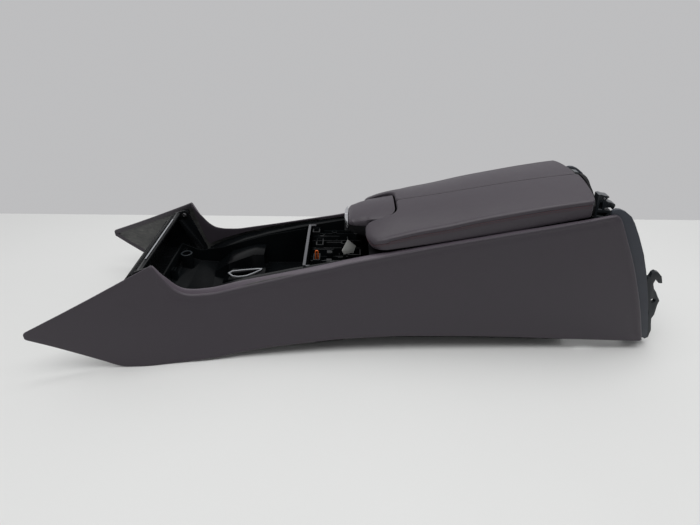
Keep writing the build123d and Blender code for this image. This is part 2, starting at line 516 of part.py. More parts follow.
# ------------------------------------------------------------- nose block
NOSE_W = [(-3.2, 31.0), (-1.0, 34.0), (4, 36.5), (18.7, 41.0), (34.5, 45.0), (50, 46.8), (57.6, 46.6), (64, 45.3),
          (69, 42.8), (73, 39.2), (75.8, 34.8), (77.6, 27.5)]
NOSE_C = [(-3.2, 211.0), (-1.0, 215.5), (4, 218.4), (18.7, 223.2), (34.5, 226.8), (50, 230.4), (64, 233.0),
          (77.6, 236.3)]
NOSE_E = [(-3.2, 209.0), (-1.0, 211.0), (4, 213.4), (18.7, 217.8), (34.5, 220.2), (50, 222.0), (57.6, 223.4),
          (64, 224.9), (69, 226.8), (73, 229.2), (75.8, 231.4), (77.6, 233.6)]
NOSE_B = [(-3.2, 205.0), (-1.0, 204.6), (4, 204.4), (18.7, 205.0), (34.5, 206.5), (50, 208.0), (77.6, 212.0)]


def nose_section(x):
    w, c, e, b = lerp(x, NOSE_W), lerp(x, NOSE_C), lerp(x, NOSE_E), lerp(x, NOSE_B)
    half = [(w * 0.35, c - (c - e) * 0.12), (w * 0.7, c - (c - e) * 0.5), (w - 3.0, e), (w, e - 3.0), (w, b + 1.0), (w - 1.5, b)]
    return [(-y, z) for y, z in half[::-1]] + [(0, c)] + half


nose = ruled([(x, nose_section(x)) for x in (-3.2, -1.0, 4, 18.7, 34.5, 50, 57.6, 64, 69, 73, 75.8, 77.6)])
save("nose_pad", nose)

core = ruled([(-1.0, [(-30, 190), (-30, 204.2), (30, 204.2), (30, 190)]),
              (18.7, [(-38, 188), (-38, 204.2), (38, 204.2), (38, 188)]),
              (34.5, [(-42, 184), (-42, 206.0), (42, 206.0), (42, 184)]),
              (62.0, [(-43, 184), (-43, 209.4), (43, 209.4), (43, 184)]),
              (70.0, [(-38, 184), (-38, 210.4), (38, 210.4), (38, 184)]),
              (77.0, [(-24, 184), (-24, 211.4), (24, 211.4), (24, 184)])])
core_foot = ruled([(x, [(-w, lerp(x, BASE) + 6.1), (-w, 188), (w, 188), (w, lerp(x, BASE) + 6.1)])
                   for x, w in ((34.0, 42), (60.0, 42), (77.0, 24))])
# the two button guides
core = grow(core, core_foot, bx(-9.2, 1.0, -31.5, 31.5, 190, 194.0))
core = core - bx(-6.2, -1.8, -26, -6, 192, 215) - bx(-6.2, -1.8, 6, 26, 192, 215)
core = core + bx(-6.2, -1.8, -26, -6, 190, 192.6) + bx(-6.2, -1.8, 6, 26, 190, 192.6)
core = core - bx(40, 64, -36, 36, 188, 203)
save("nose_core", core)

# release buttons, pressed down
button = prism_z([(-9.4, -0.4), (-3.6, -0.4), (-3.6, -33.2), (-4.4, -33.2), (-6.2, -29.0), (-8.2, -22.0),
                  (-9.2, -12.0)],
                 204.0, 211.0) + bx(-5.4, -3.8, -25.6, -6.4, 199.8, 204.5)
sides("release_button", button)

# button return springs, one under each stem
def spring(y):
    base_z, height, turns, r, wire_r = 192.9, 6.6, 5, 1.35, 0.3
    helix = Helix(pitch=height / turns, height=height, radius=r,
                  center=(-4.2 + OX, y, base_z))
    section = Plane(origin=helix @ 0, z_dir=helix % 0) * Circle(wire_r)
    return sweep(section, path=helix, is_frenet=True)


for name, ys in (("left", (-21.0, -11.0)), ("right", (21.0, 11.0))):
    save(name + "_button_springs", *[spring(y) for y in ys])

# ------------------------------------------------------------- latch
# carrier plate on the front rail of the base, with lugs for the pawls
def over_base(x, lift):
    return lerp(x, BASE) + 6.0 + lift


housing = ruled([(x, [(-30, over_base(x, 0.15)), (-30, over_base(x, 1.6)), (30, over_base(x, 1.6)),
                      (30, over_base(x, 0.15))]) for x in (80.4, 94.0)])
PIVOT_X, PIVOT_Z = 84.0, 189.7
for sgn in (-1, 1):
    for y0, y1 in ((12.2, 13.8), (18.2, 19.8)):
        lug = prism_y([(82.0, 185.5), (82.0, 189.7), (82.8, 191.2), (85.2, 191.2), (86.2, 189.7),
                       (86.2, 185.5)], min(sgn * y0, sgn * y1), max(sgn * y0, sgn * y1))
        housing = housing + (lug & bx(70, 100, -40, 40, over_base(82.0, 0.9), 200))
housing = housing - cyl((PIVOT_X, -40, PIVOT_Z), (0, 1, 0), 0.8, 80)
# slots the strikers drop into
housing = housing - bx(87.8, 91.8, -20.6, -11.4, 180, 200) - bx(87.8, 91.8, 11.4, 20.6, 180, 200)
save("latch_housing", housing)
save("latch_pins", cyl((PIVOT_X, -19.8, PIVOT_Z), (0, 1, 0), 0.8, 7.6),
     cyl((PIVOT_X, 12.2, PIVOT_Z), (0, 1, 0), 0.8, 7.6))

pawl = grow(cyl((PIVOT_X, -17.9, PIVOT_Z), (0, 1, 0), 1.75, 3.8),
            prism_y([(83.0, 189.7), (83.6, 192.5), (85.8, 193.2), (87.9, 192.0), (87.9, 191.2), (86.0, 190.9),
                     (85.4, 189.1)], -17.9, -14.1))
pawl = pawl - cyl((PIVOT_X, -20, PIVOT_Z), (0, 1, 0), 0.86, 8)
sides("latch_pawl", pawl)

# ------------------------------------------------------------- rear frame
# black flange that closes the rear edge of both side panels
FLANGE_OUT = [(398, 244), (408.6, 246), (409.1, 260.6), (411.4, 263.2), (415, 263.8), (421.6, 263.4), (430.7, 259.6),
              (440.9, 251.9), (449.1, 240.3), (461.8, 217.8), (478.1, 185.3), (490.3, 154.7),
              (495.2, 141.1), (510.8, 95.1), (525.5, 40), (529, 22), (529, 16), (440, 16), (440, 60),
              (420, 120), (404, 190), (398, 230)]
cheek_l = prism_y(FLANGE_OUT, -103.6, -100.6)
inner_cut = prism_y([(408, 236), (414, 254), (424, 254), (436, 244), (452, 214), (470, 176), (484, 138),
                     (500, 90), (512, 44), (512, 28), (452, 28), (452, 62), (430, 124), (414, 192)],
                    -110, -95)
# return flange that follows the rear edge and faces backwards
edge = [(409.1, 260.6), (415, 263.8), (421.6, 263.4), (430.7, 259.6), (440.9, 251.9), (449.1, 240.3),
        (461.8, 217.8), (478.1, 185.3), (490.3, 154.7), (495.2, 141.1), (510.8, 95.1), (525.5, 40),
        (529, 22)]
inner_edge = [(410.6, 257.2), (415.6, 260.2), (420.8, 260.0), (428.9, 256.4), (438.2, 249.4),
              (445.9, 238.4), (458.4, 216.2), (474.6, 183.8), (486.7, 153.4), (491.6, 139.9),
              (507.1, 94.0), (521.7, 39.2), (525.2, 21.5)]
ret_strip = prism_y(edge + inner_edge[::-1], -103.6, -97)
ret_strip = ret_strip + (prism_y(edge + inner_edge[::-1], -98, -88) & bx(400, 540, -100, -80, 0, 236))
cross_lo = bx(500, 527, -96, 96, 22.4, 26) + bx(496, 500, -96, 96, 22.4, 38)
cross_mid = prism_y([(489.5, 157), (493, 147.5), (480, 142), (476, 152)], -96, 96)
cross_top = bx(400, 427, -101.5, 101.5, 228, 231.5) + bx(400, 403, -101.5, 101.5, 212, 231)
tab = bx(370, 403, -86.2, -83.2, 198, 215) - cyl((380, -80, 207), (0, -1, 0), 2.1, 10)
half = grow(cheek_l, ret_strip)
ribs_rear = [prism_y([(420, 200), (452, 226), (455, 222), (421, 196)], -101, -92),
             prism_y([(436, 120), (488, 150), (490, 146), (437, 116)], -101, -92),
             prism_y([(450, 66), (508, 92), (509, 88), (451, 62)], -101, -92)]
half = grow(half, *ribs_rear, tab)
rear_frame = grow(half, mirror_y(half), cross_lo, cross_mid, cross_top)
for z in (90.0, 190.0):
    x = 445 if z < 100 else 418
    rear_frame = rear_frame - cyl((x, -120, z), (0, 1, 0), 2.1, 240)
save("rear_frame", rear_frame)

# towers behind the lids, one at each side
def rear_tower(low):
    top = [(398, 275.0), (402, 275.4), (407, 273.8), (414.6, 272.6), (416.0, 270.8),
           (412.4, 267.6), (411.8, 264.8), (416, 262.6), (421, 261.8), (428.2, 258.6), (429, 256.2),
           (427.4, 250.2), (425.2, 250.0), (424.6, 253.4), (413, 252.4), (412.6, 248.8), (424, 247.4)]
    t = prism_y([(398, 231.9)] + [(x, z - low) for x, z in top] + [(428.3, 244.0 - 0.5 * low), (422.9, 231.9)], -70, -55)
    t = t - prism_y([(402.5, 238), (402.5, 245 - low), (420, 243.5 - low), (417, 236)], -72, -62)
    t = t - prism_y([(402.5, 249), (402.5, 262 - low), (407.5, 262 - low), (409.5, 249)], -72, -62)
    return t - cyl((407.5, -73, 269.4 - low), (0, 1, 0), 1.5, 24)


RIGHT_LOW = 5.0                # the right tower is this much lower
save("left_rear_tower", rear_tower(0.0))
save("right_rear_tower", mirror_y(rear_tower(RIGHT_LOW)))
save("tower_rods", cyl((407.5, -72, 269.4), (0, 1, 0), 1.5, 22),
     cyl((407.5, 50, 269.4 - RIGHT_LOW), (0, 1, 0), 1.5, 22))

# clips that grip the tunnel trim behind the console
CLIP = [(499.8, 136.9), (503.3, 139.5), (505.1, 146.9), (509, 150), (515.7, 147.5), (522.4, 140.6),
        (527.2, 127.6), (523.4, 127.2), (520.5, 128), (518.5, 132.5), (514, 134.5), (512.5, 126),
        (516.5, 116), (521.5, 110), (527.2, 100.4), (532.5, 92.1), (531.3, 82.6), (531.9, 63.2),
        (529.2, 54.6), (531.1, 45.9), (535.6, 29.5), (535.0, 23.1), (534.6, 14.1), (529.6, 10.5),
        (525.0, 13), (526.4, 30), (523.5, 50), (521.5, 66), (513.5, 84), (510.5, 96), (505, 112),
        (500.5, 124)]
clip = prism_y(CLIP, -99.5, -91.5)
clip = clip - cyl((521.4, -110, 92.1), (0, 1, 0), 4.4, 40)
clip = clip + bx(500, 509, -93.5, -88.6, 118, 128)
clip = clip - ret_strip - cheek_l
sides("rear_clip", clip)

# ------------------------------------------------------------- floor brackets
def bracket(xc, sgn_x, top_z, seat_x):
    """Steel angle: foot with a floor bolt hole, riser, tab under the carrier floor."""
    y = -BOLT_Y
    f = bx(xc - 17, xc + 17, y - 14, y + 14, 0.0, 3.0)
    x_riser = xc + sgn_x * 17
    riser = bx(min(x_riser, x_riser - sgn_x * 3), max(x_riser, x_riser - sgn_x * 3), y - 14, y + 14, 0.0, top_z)
    tab = bx(min(x_riser, seat_x + sgn_x * 10), max(x_riser, seat_x + sgn_x * 10), y - 14, y + 14, top_z - 3.0, top_z)
    b = grow(f, riser, tab)
    b = b - cyl((xc, y, -2), (0, 0, 1), BOLT_R, 8) - cyl((seat_x, y, top_z - 6), (0, 0, 1), 2.1, 10)
    for yy in (y - 9, y + 9):
        b = b + prism_y([(x_riser - sgn_x * 2.5, 2.5), (x_riser - sgn_x * 12, 2.5), (x_riser - sgn_x * 2.5, 16)], yy - 1, yy + 1)
    return b


fb = bracket(BOLT_X0, 1, 45.9, BOLT_X0 + 26)
rb = bracket(BOLT_X1, -1, 29.9, BOLT_X1 - 30)
sides("front_foot", fb)
sides("rear_foot", rb)

# ------------------------------------------------------------- fasteners
def screw(p, d, shaft_r, shaft_l, head_r, head_h):
    """Flanged screw: head outside p, shank along d."""
    dv = Vector(*d).normalized()
    back = (-dv.X, -dv.Y, -dv.Z)
    head = cyl(p, back, head_r, head_h) + cyl(p, back, head_r + 1.1, 0.7)
    tip = (p[0] + dv.X * 0.0, p[1], p[2])
    recess = cyl((p[0] + back[0] * (head_h - 1.2), p[1] + back[1] * (head_h - 1.2), p[2] + back[2] * (head_h - 1.2)),
                 back, 1.3, 3)
    return head + cyl(tip, d, shaft_r, shaft_l) - recess


panel_screws = []
for x, z in PANEL_SCREWS:
    s = screw((x, -WALL_IN + 0.05, z), (0, -1, 0), 1.6, 31.0, 3.4, 2.6)
    panel_screws += [s, mirror_y(s)]
save("panel_screws", *panel_screws)

frame_screws = []
s = screw((-334, -CHEEK + 0.05, 156), (0, -1, 0), 2.0, 14.0, 3.6, 2.8)
frame_screws += [s, mirror_y(s)]
save("wing_screws", *frame_screws)
s = screw((380, -WALL_IN + 0.05, 207), (0, -1, 0), 2.0, 9.0, 3.6, 2.8)
save("rear_frame_screws", s, mirror_y(s))

foot_screws = []
for x, z in ((BOLT_X0 + 26, 49), (BOLT_X1 - 30, 33)):
    s = screw((x, -BOLT_Y, z + 0.05), (0, 0, -1), 2.0, 8.5, 3.6, 2.8)
    foot_screws += [s, mirror_y(s)]
save("foot_screws", *foot_screws)
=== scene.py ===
import math
import random

import bmesh
import bpy
import numpy as np
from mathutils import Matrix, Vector, geometry


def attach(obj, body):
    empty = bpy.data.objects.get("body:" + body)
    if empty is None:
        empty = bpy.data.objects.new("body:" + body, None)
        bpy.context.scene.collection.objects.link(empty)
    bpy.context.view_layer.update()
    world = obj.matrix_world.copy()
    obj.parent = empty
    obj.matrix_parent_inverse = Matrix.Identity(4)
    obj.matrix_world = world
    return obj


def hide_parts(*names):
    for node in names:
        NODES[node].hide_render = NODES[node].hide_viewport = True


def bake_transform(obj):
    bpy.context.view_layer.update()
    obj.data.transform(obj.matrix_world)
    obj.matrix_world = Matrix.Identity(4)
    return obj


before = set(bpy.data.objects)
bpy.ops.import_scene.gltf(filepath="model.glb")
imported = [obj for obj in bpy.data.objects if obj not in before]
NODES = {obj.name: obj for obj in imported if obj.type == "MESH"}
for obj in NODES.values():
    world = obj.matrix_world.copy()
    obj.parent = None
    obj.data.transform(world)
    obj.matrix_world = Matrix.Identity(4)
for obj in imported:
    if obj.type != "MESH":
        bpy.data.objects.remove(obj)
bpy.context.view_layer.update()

random.seed(7)

OX = -8.0                       # same shift along X as the CAD model, mm

# ------------------------------------------------------------------ tables, mm
WT = [(-518, 188), (-318, 130), (-250, 124), (-180, 117), (-80, 110), (0, 105),
      (100, 105.5), (200, 107), (300, 109), (420, 112), (520, 114)]
WI = [(-318, 122), (-250, 114), (-180, 105), (-80, 98.7), (0, 93), (100, 94),
      (200, 96), (300, 98), (420, 100)]
WB = [(-518, 188), (-385, 163), (-350, 164), (-310, 156.5), (-250, 146),
      (-180, 137), (-80, 128), (0, 122), (100, 118), (200, 116), (300, 115), (520, 114)]
ZT = [(-517.5, 87.5), (-459, 113), (-415.6, 132.5), (-365, 156.1), (-318, 178.2),
      (-313, 168), (-298, 139.7), (-280, 123.5), (-268, 119.5), (-258.7, 118.6),
      (-226, 119.9), (-182, 129), (-130, 140.5), (-77.4, 152.2), (-33, 160.5),
      (0, 168.5), (50, 179.2), (143, 200), (238, 219), (320, 235.5), (388, 250.4),
      (408, 255.3)]
ZI = [(-318, 178.2), (-300.6, 151), (-281, 130), (-260, 125.8), (-227, 127.5),
      (-184, 136.6), (-143, 143.9), (-78, 155.9), (-33, 164.5), (0, 171.5),
      (26, 177.5), (52.6, 182.6), (145, 201.0), (222, 216), (272, 226),
      (303, 231.6), (384, 247.4), (408, 253.0)]
ZB = [(-518, 75.5), (-459.3, 41.2), (-393.7, 3.5), (-385, 0.8), (-378, 0),
      (-350, 0), (-311.6, 0.3), (-231.8, 4.1), (-190, 11), (-137, 17.2),
      (-66, 22.3), (-17.4, 26.2), (84, 29.2), (180, 28), (277.6, 25.6),
      (406, 19.8), (516.4, 15.7)]
REAR = [(414, 256.2), (418.5, 254.8), (422.5, 251), (428.1, 241.9), (441.7, 214),
        (459.6, 177.5), (477.5, 134.5), (497.6, 80.9), (514.5, 26.8)]
ZRET = [(-330, 163), (-318, 168), (-306, 128), (-294, 89), (-254, 107), (-209, 122.5),
        (-164, 135.5), (-94, 150.5), (-60, 157.5), (-20, 161.5)]
SEAM = [(26, 222), (46, 230), (80.6, 237.7), (103, 241.2), (160, 250.5), (266, 269.5),
        (330, 279.3), (382, 285.2), (394, 286.4)]
CREASE = [(26, 201), (46, 209.5), (54, 212.2), (67, 214.5), (80, 217.6), (103.5, 224.5), (144, 231.8),
          (175, 239.0), (205, 246.6), (236, 252.9), (267, 259.0), (297, 264.8), (330, 270.6),
          (365, 276.0), (382, 278.2), (394, 279.4)]
LOWER = [(26, 186), (52, 188.6), (143, 203.2), (270, 226.0), (382, 249.3), (394, 251.8)]
NOSE_W = [(-3.2, 31.0), (-1.0, 34.0), (4, 36.5), (18.7, 41.0), (34.5, 45.0), (50, 46.8), (57.6, 46.6), (64, 45.3),
          (69, 42.8), (73, 39.2), (75.8, 34.8), (77.6, 27.5)]
NOSE_C = [(-3.2, 211.0), (-1.0, 215.5), (4, 218.4), (18.7, 223.2), (34.5, 226.8), (50, 230.4), (64, 233.0),
          (77.6, 236.3)]
NOSE_E = [(-3.2, 209.0), (-1.0, 211.0), (4, 213.4), (18.7, 217.8), (34.5, 220.2), (50, 222.0), (57.6, 223.4),
          (64, 224.9), (69, 226.8), (73, 229.2), (75.8, 231.4), (77.6, 233.6)]
FULL = [(0, 2.3), (38, 2.3), (54, 2.8), (80, 2.9), (110, 2.3), (420, 2.3)]
REAR_Y = (0.0, 8.0, 20.0, 35.0, 50.0, 65.0, 78.0, 88.0, 95.0)
LID_EDGE = {"left": (388.8, 388.8, 388.8, 388.0, 387.0, 385.8, 384.6, 383.2, 381.5),
            "right": (385.6, 385.6, 385.4, 385.0, 384.6, 384.1, 383.6, 382.8, 381.5)}
NOSE_B = [(-3.2, 205.0), (-1.0, 204.6), (4, 204.4), (18.7, 205.0), (34.5, 206.5), (50, 208.0), (77.6, 212.0)]


def lerp(x, tab, extend=False):
    if x <= tab[0][0]:
        if not extend:
            return tab[0][1]
        (a, b), (c, d) = tab[0], tab[1]
        return b + (d - b) * (x - a) / (c - a)
    for (a, b), (c, d) in zip(tab, tab[1:]):
        if x <= c:
            return b + (d - b) * (x - a) / (c - a)
    if not extend:
        return tab[-1][1]
    (a, b), (c, d) = tab[-2], tab[-1]
    return b + (d - b) * (x - a) / (c - a)


def soft(x, tab, h=8.0, n=9):
    """Table value averaged over x - h .. x + h, which rounds its corners."""
    s = 0.0
    for k in range(n):
        s += lerp(x + h * (2.0 * k / (n - 1) - 1.0), tab, True)
    return s / n


# ------------------------------------------------------------------ materials
def material(name):
    m = bpy.data.materials.new(name)
    m.use_nodes = True
    nt = m.node_tree
    bsdf = nt.nodes["Principled BSDF"]
    return m, nt, bsdf


def node(nt, kind, **kw):
    n = nt.nodes.new(kind)
    for k, v in kw.items():
        setattr(n, k, v)
    return n


def coords(nt, scale=(1, 1, 1)):
    tc = node(nt, "ShaderNodeTexCoord")
    mp = node(nt, "ShaderNodeMapping")
    mp.inputs["Scale"].default_value = scale
    nt.links.new(tc.outputs["Object"], mp.inputs["Vector"])
    return mp.outputs["Vector"]


def noise_tex(nt, vec, scale, detail=3.0, rough=0.55):
    n = node(nt, "ShaderNodeTexNoise")
    n.inputs["Scale"].default_value = scale
    n.inputs["Detail"].default_value = detail
    n.inputs["Roughness"].default_value = rough
    nt.links.new(vec, n.inputs["Vector"])
    return n.outputs["Fac"]


def ramp(nt, fac, stops):
    r = node(nt, "ShaderNodeValToRGB")
    els = r.color_ramp.elements
    while len(els) > len(stops):
        els.remove(els[-1])
    while len(els) < len(stops):
        els.new(0.5)
    for e, (p, c) in zip(els, stops):
        e.position = p
        e.color = (*c, 1.0) if len(c) == 3 else c
    nt.links.new(fac, r.inputs["Fac"])
    return r.outputs["Color"]


def value_range(nt, fac, lo, hi, f0=0.0, f1=1.0):
    m = node(nt, "ShaderNodeMapRange")
    m.inputs["From Min"].default_value = f0
    m.inputs["From Max"].default_value = f1
    m.inputs["To Min"].default_value = lo
    m.inputs["To Max"].default_value = hi
    nt.links.new(fac, m.inputs["Value"])
    return m.outputs["Result"]


def math_node(nt, op, a, b):
    m = node(nt, "ShaderNodeMath", operation=op)
    for k, v in ((0, a), (1, b)):
        if isinstance(v, (int, float)):
            m.inputs[k].default_value = v
        else:
            nt.links.new(v, m.inputs[k])
    return m.outputs[0]


def mix(nt, fac, a, b, blend="MIX"):
    m = node(nt, "ShaderNodeMix", data_type="RGBA", blend_type=blend)
    for sock, v in ((m.inputs["Factor"], fac), (m.inputs["A"], a), (m.inputs["B"], b)):
        if isinstance(v, (int, float)):
            sock.default_value = v
        elif isinstance(v, tuple):
            sock.default_value = (*v, 1.0) if len(v) == 3 else v
        else:
            nt.links.new(v, sock)
    return m.outputs["Result"]


def bump(nt, height, strength, dist, normal=None):
    b = node(nt, "ShaderNodeBump")
    b.inputs["Strength"].default_value = strength
    b.inputs["Distance"].default_value = dist
    nt.links.new(height, b.inputs["Height"])
    if normal is not None:
        nt.links.new(normal, b.inputs["Normal"])
    return b.outputs["Normal"]


def leather(name, base, alt, rough=0.5, grain=760.0, depth=0.00018, strength=0.5):
    m, nt, bs = material(name)
    v = coords(nt)
    broad = noise_tex(nt, v, 7.0, 4.0, 0.6)
    mid = noise_tex(nt, v, 42.0, 3.0, 0.6)
    f = math_node(nt, "ADD", math_node(nt, "MULTIPLY", broad, 0.65), math_node(nt, "MULTIPLY", mid, 0.35))
    tone = ramp(nt, f, [(0.36, base), (0.64, alt)])
    # pebbled grain: small cells with soft creases between them
    vo = node(nt, "ShaderNodeTexVoronoi", feature="DISTANCE_TO_EDGE")
    vo.inputs["Scale"].default_value = grain
    warp = node(nt, "ShaderNodeTexNoise")
    warp.inputs["Scale"].default_value = 240.0
    warp.inputs["Detail"].default_value = 2.0
    nt.links.new(v, warp.inputs["Vector"])
    wv = node(nt, "ShaderNodeVectorMath", operation="MULTIPLY_ADD")
    wv.inputs[1].default_value = (0.0022, 0.0022, 0.0022)
    nt.links.new(warp.outputs["Color"], wv.inputs[0])
    nt.links.new(v, wv.inputs[2])
    nt.links.new(wv.outputs[0], vo.inputs["Vector"])
    crease = value_range(nt, vo.outputs["Distance"], 0.0, 1.0, 0.0, 0.22)
    fine = noise_tex(nt, v, 2600.0, 2.0, 0.5)
    height = math_node(nt, "ADD", crease, math_node(nt, "MULTIPLY", fine, 0.25))
    # the grain's creases are painted darker, down to 0.45 of the base colour: painted shade in the creases
    crease_shaded_tone = mix(nt, value_range(nt, crease, 0.16, 0.0), tone, (base[0] * 0.45, base[1] * 0.45, base[2] * 0.45))
    nt.links.new(crease_shaded_tone, bs.inputs["Base Color"])
    nt.links.new(value_range(nt, f, rough - 0.05, rough + 0.07, 0.3, 0.7), bs.inputs["Roughness"])
    nt.links.new(bump(nt, height, strength, depth), bs.inputs["Normal"])
    bs.inputs["Specular IOR Level"].default_value = 0.5
    bs.inputs["Sheen Weight"].default_value = 0.10
    bs.inputs["Sheen Roughness"].default_value = 0.45
    bs.inputs["Sheen Tint"].default_value = (0.95, 0.9, 1.0, 1.0)
    return m


def moulded(name, base, rough=0.32, grain=900.0, strength=0.12, tint=(0.004, 0.006, 0.007), coat=0.0, wear=0.06, spec=0.5):
    """Injection-moulded plastic with a faint spark-eroded texture and handling marks."""
    m, nt, bs = material(name)
    v = coords(nt)
    broad = noise_tex(nt, v, 16.0, 4.0, 0.6)
    fine = noise_tex(nt, v, grain, 2.0, 0.5)
    tone = ramp(nt, broad, [(0.35, base), (0.7, tuple(b + t for b, t in zip(base, tint)))])
    nt.links.new(tone, bs.inputs["Base Color"])
    smear = noise_tex(nt, coords(nt, (1.0, 3.0, 2.0)), 30.0, 5.0, 0.65)
    nt.links.new(value_range(nt, smear, rough - wear, rough + wear, 0.3, 0.7), bs.inputs["Roughness"])
    nt.links.new(bump(nt, fine, strength, 0.0002), bs.inputs["Normal"])
    bs.inputs["Specular IOR Level"].default_value = spec
    if coat:
        bs.inputs["Coat Weight"].default_value = coat
        bs.inputs["Coat Roughness"].default_value = 0.12
    return m


def metal(name, base, rough=0.3, brush=(1.0, 1.0, 1.0), scale=300.0):
    m, nt, bs = material(name)
    v = coords(nt, brush)
    n = noise_tex(nt, v, scale, 3.0, 0.6)
    nt.links.new(ramp(nt, n, [(0.3, tuple(c * 0.82 for c in base)), (0.7, base)]), bs.inputs["Base Color"])
    nt.links.new(value_range(nt, n, rough - 0.06, rough + 0.1, 0.3, 0.7), bs.inputs["Roughness"])
    nt.links.new(bump(nt, n, 0.08, 0.0002), bs.inputs["Normal"])
    bs.inputs["Metallic"].default_value = 1.0
    return m


def raw_board(name):
    """Unfinished back of the trim carrier: grey resin board with brushed and dabbed glue marks."""
    m, nt, bs = material(name)
    v = coords(nt)
    vs = coords(nt, (1.0, 1.0, 3.2))
    dab = noise_tex(nt, v, 26.0, 6.0, 0.68)
    streak = noise_tex(nt, vs, 70.0, 5.0, 0.7)
    f = math_node(nt, "ADD", math_node(nt, "MULTIPLY", dab, 0.6), math_node(nt, "MULTIPLY", streak, 0.4))
    nt.links.new(ramp(nt, f, [(0.36, (0.022, 0.023, 0.023)), (0.46, (0.050, 0.051, 0.050)),
                              (0.54, (0.078, 0.079, 0.076)), (0.64, (0.150, 0.150, 0.144))]), bs.inputs["Base Color"])
    nt.links.new(value_range(nt, dab, 0.28, 0.62, 0.3, 0.7), bs.inputs["Roughness"])
    nt.links.new(bump(nt, f, 0.5, 0.0008), bs.inputs["Normal"])
    return m


def felt(name, base):
    m, nt, bs = material(name)
    v = coords(nt)
    n = noise_tex(nt, v, 1500.0, 3.0, 0.7)
    nt.links.new(ramp(nt, n, [(0.3, tuple(c * 0.6 for c in base)), (0.7, base)]), bs.inputs["Base Color"])
    bs.inputs["Roughness"].default_value = 0.95
    bs.inputs["Sheen Weight"].default_value = 0.4
    nt.links.new(bump(nt, n, 0.8, 0.0006), bs.inputs["Normal"])
    return m


M_PANEL = leather("panel_leather_mat", (0.040, 0.032, 0.042), (0.044, 0.037, 0.047), rough=0.50)
# the panel's leather made paler for the rim's upward face: painted light on the rim
M_RIM_PAINTED_LIGHT = leather("rim_painted_light_leather_mat", (0.078, 0.062, 0.080), (0.085, 0.070, 0.087), rough=0.42)
M_LID = leather("lid_leather_mat", (0.042, 0.034, 0.044), (0.047, 0.039, 0.049), rough=0.46)
M_RAW = raw_board("raw_board_mat")
M_GLOSS = moulded("black_gloss_mat", (0.0022, 0.0026, 0.0030), rough=0.22, strength=0.03, tint=(0.0014, 0.002, 0.0022), wear=0.05, spec=0.10)
M_FRAME = moulded("black_frame_mat", (0.0045, 0.0050, 0.0056), rough=0.26, strength=0.04, tint=(0.002, 0.0026, 0.003), wear=0.05, spec=0.30)
M_MATTE = moulded("black_matte_mat", (0.0032, 0.0034, 0.0040), rough=0.45, strength=0.15, grain=1400.0, tint=(0.002, 0.002, 0.0025), spec=0.12)
M_BRACKET = moulded("bracket_black_mat", (0.0030, 0.0034, 0.0040), rough=0.16, strength=0.03, tint=(0.002, 0.003, 0.003), wear=0.04, spec=0.34)
M_FLANGE = moulded("flange_black_mat", (0.036, 0.040, 0.052), rough=0.44, strength=0.25, grain=1200.0, spec=0.4)
# the clips' and towers' own dark grey; on the selector ring's top it is a painted highlight
M_CLIP_AND_RING_HIGHLIGHT = moulded("clip_black_and_ring_highlight_mat", (0.016, 0.019, 0.022), rough=0.36, strength=0.2, grain=1200.0, spec=0.4)
# grey for the partition trim, paler than the black around it: painted highlight along the partition's edge, with real
# gloss from its specular
M_TRIM_PAINTED_HIGHLIGHT = moulded("trim_painted_highlight_mat", (0.085, 0.086, 0.094), rough=0.24, strength=0.04, spec=0.8)
# light grey that stands in for thin highlights on black parts: painted highlight on the slot bezel and the front bar's
# top edge
M_EDGE_PAINTED_HIGHLIGHT = moulded("edge_painted_highlight_mat", (0.30, 0.31, 0.33), rough=0.28, strength=0.04, spec=0.8)
M_SILVER = metal("satin_silver_mat", (0.72, 0.73, 0.76), 0.30, (1, 6, 1), 260.0)
M_STEEL = metal("steel_mat", (0.48, 0.48, 0.50), 0.32)
M_SCREW = metal("screw_mat", (0.62, 0.62, 0.63), 0.25)
M_FELT = felt("felt_mat", (0.016, 0.016, 0.018))
M_THREAD = moulded("thread_mat", (0.078, 0.018, 0.025), rough=0.6, grain=4000.0, strength=0.4, tint=(0.02, 0.006, 0.008))
# paler grey for the towers' upward faces: painted light on their tops
M_TOWER_TOP_PAINTED_LIGHT = moulded("tower_top_painted_light_mat", (0.090, 0.096, 0.104), rough=0.40, grain=1200.0, strength=0.3, spec=0.5)
M_WIRE = moulded("wire_mat", (0.62, 0.12, 0.02), rough=0.34, grain=1600.0, strength=0.05, tint=(0.12, 0.06, 0.02))
M_TAG = moulded("tag_mat", (0.62, 0.63, 0.60), rough=0.5, grain=900.0, strength=0.15, tint=(0.10, 0.10, 0.10))


# ------------------------------------------------------------------ mesh helpers
def finish_mesh(name, verts, faces, mats, tags=None, body="root", angle=38.0, replaces=(), weld=0.0):
    me = bpy.data.meshes.new(name)
    me.from_pydata([tuple(v) for v in verts], [], faces)
    for m in mats:
        me.materials.append(m)
    if tags is not None:
        me.polygons.foreach_set("material_index", tags)
    me.polygons.foreach_set("use_smooth", [True] * len(me.polygons))
    bm = bmesh.new()
    bm.from_mesh(me)
    if weld:
        bmesh.ops.remove_doubles(bm, verts=bm.verts, dist=weld)
    bmesh.ops.recalc_face_normals(bm, faces=bm.faces)
    bm.to_mesh(me)
    bm.free()
    me.set_sharp_from_angle(angle=math.radians(angle))
    ob = bpy.data.objects.new(name, me)
    bpy.context.scene.collection.objects.link(ob)
    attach(ob, body)
    if replaces:
        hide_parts(*replaces)
    return ob


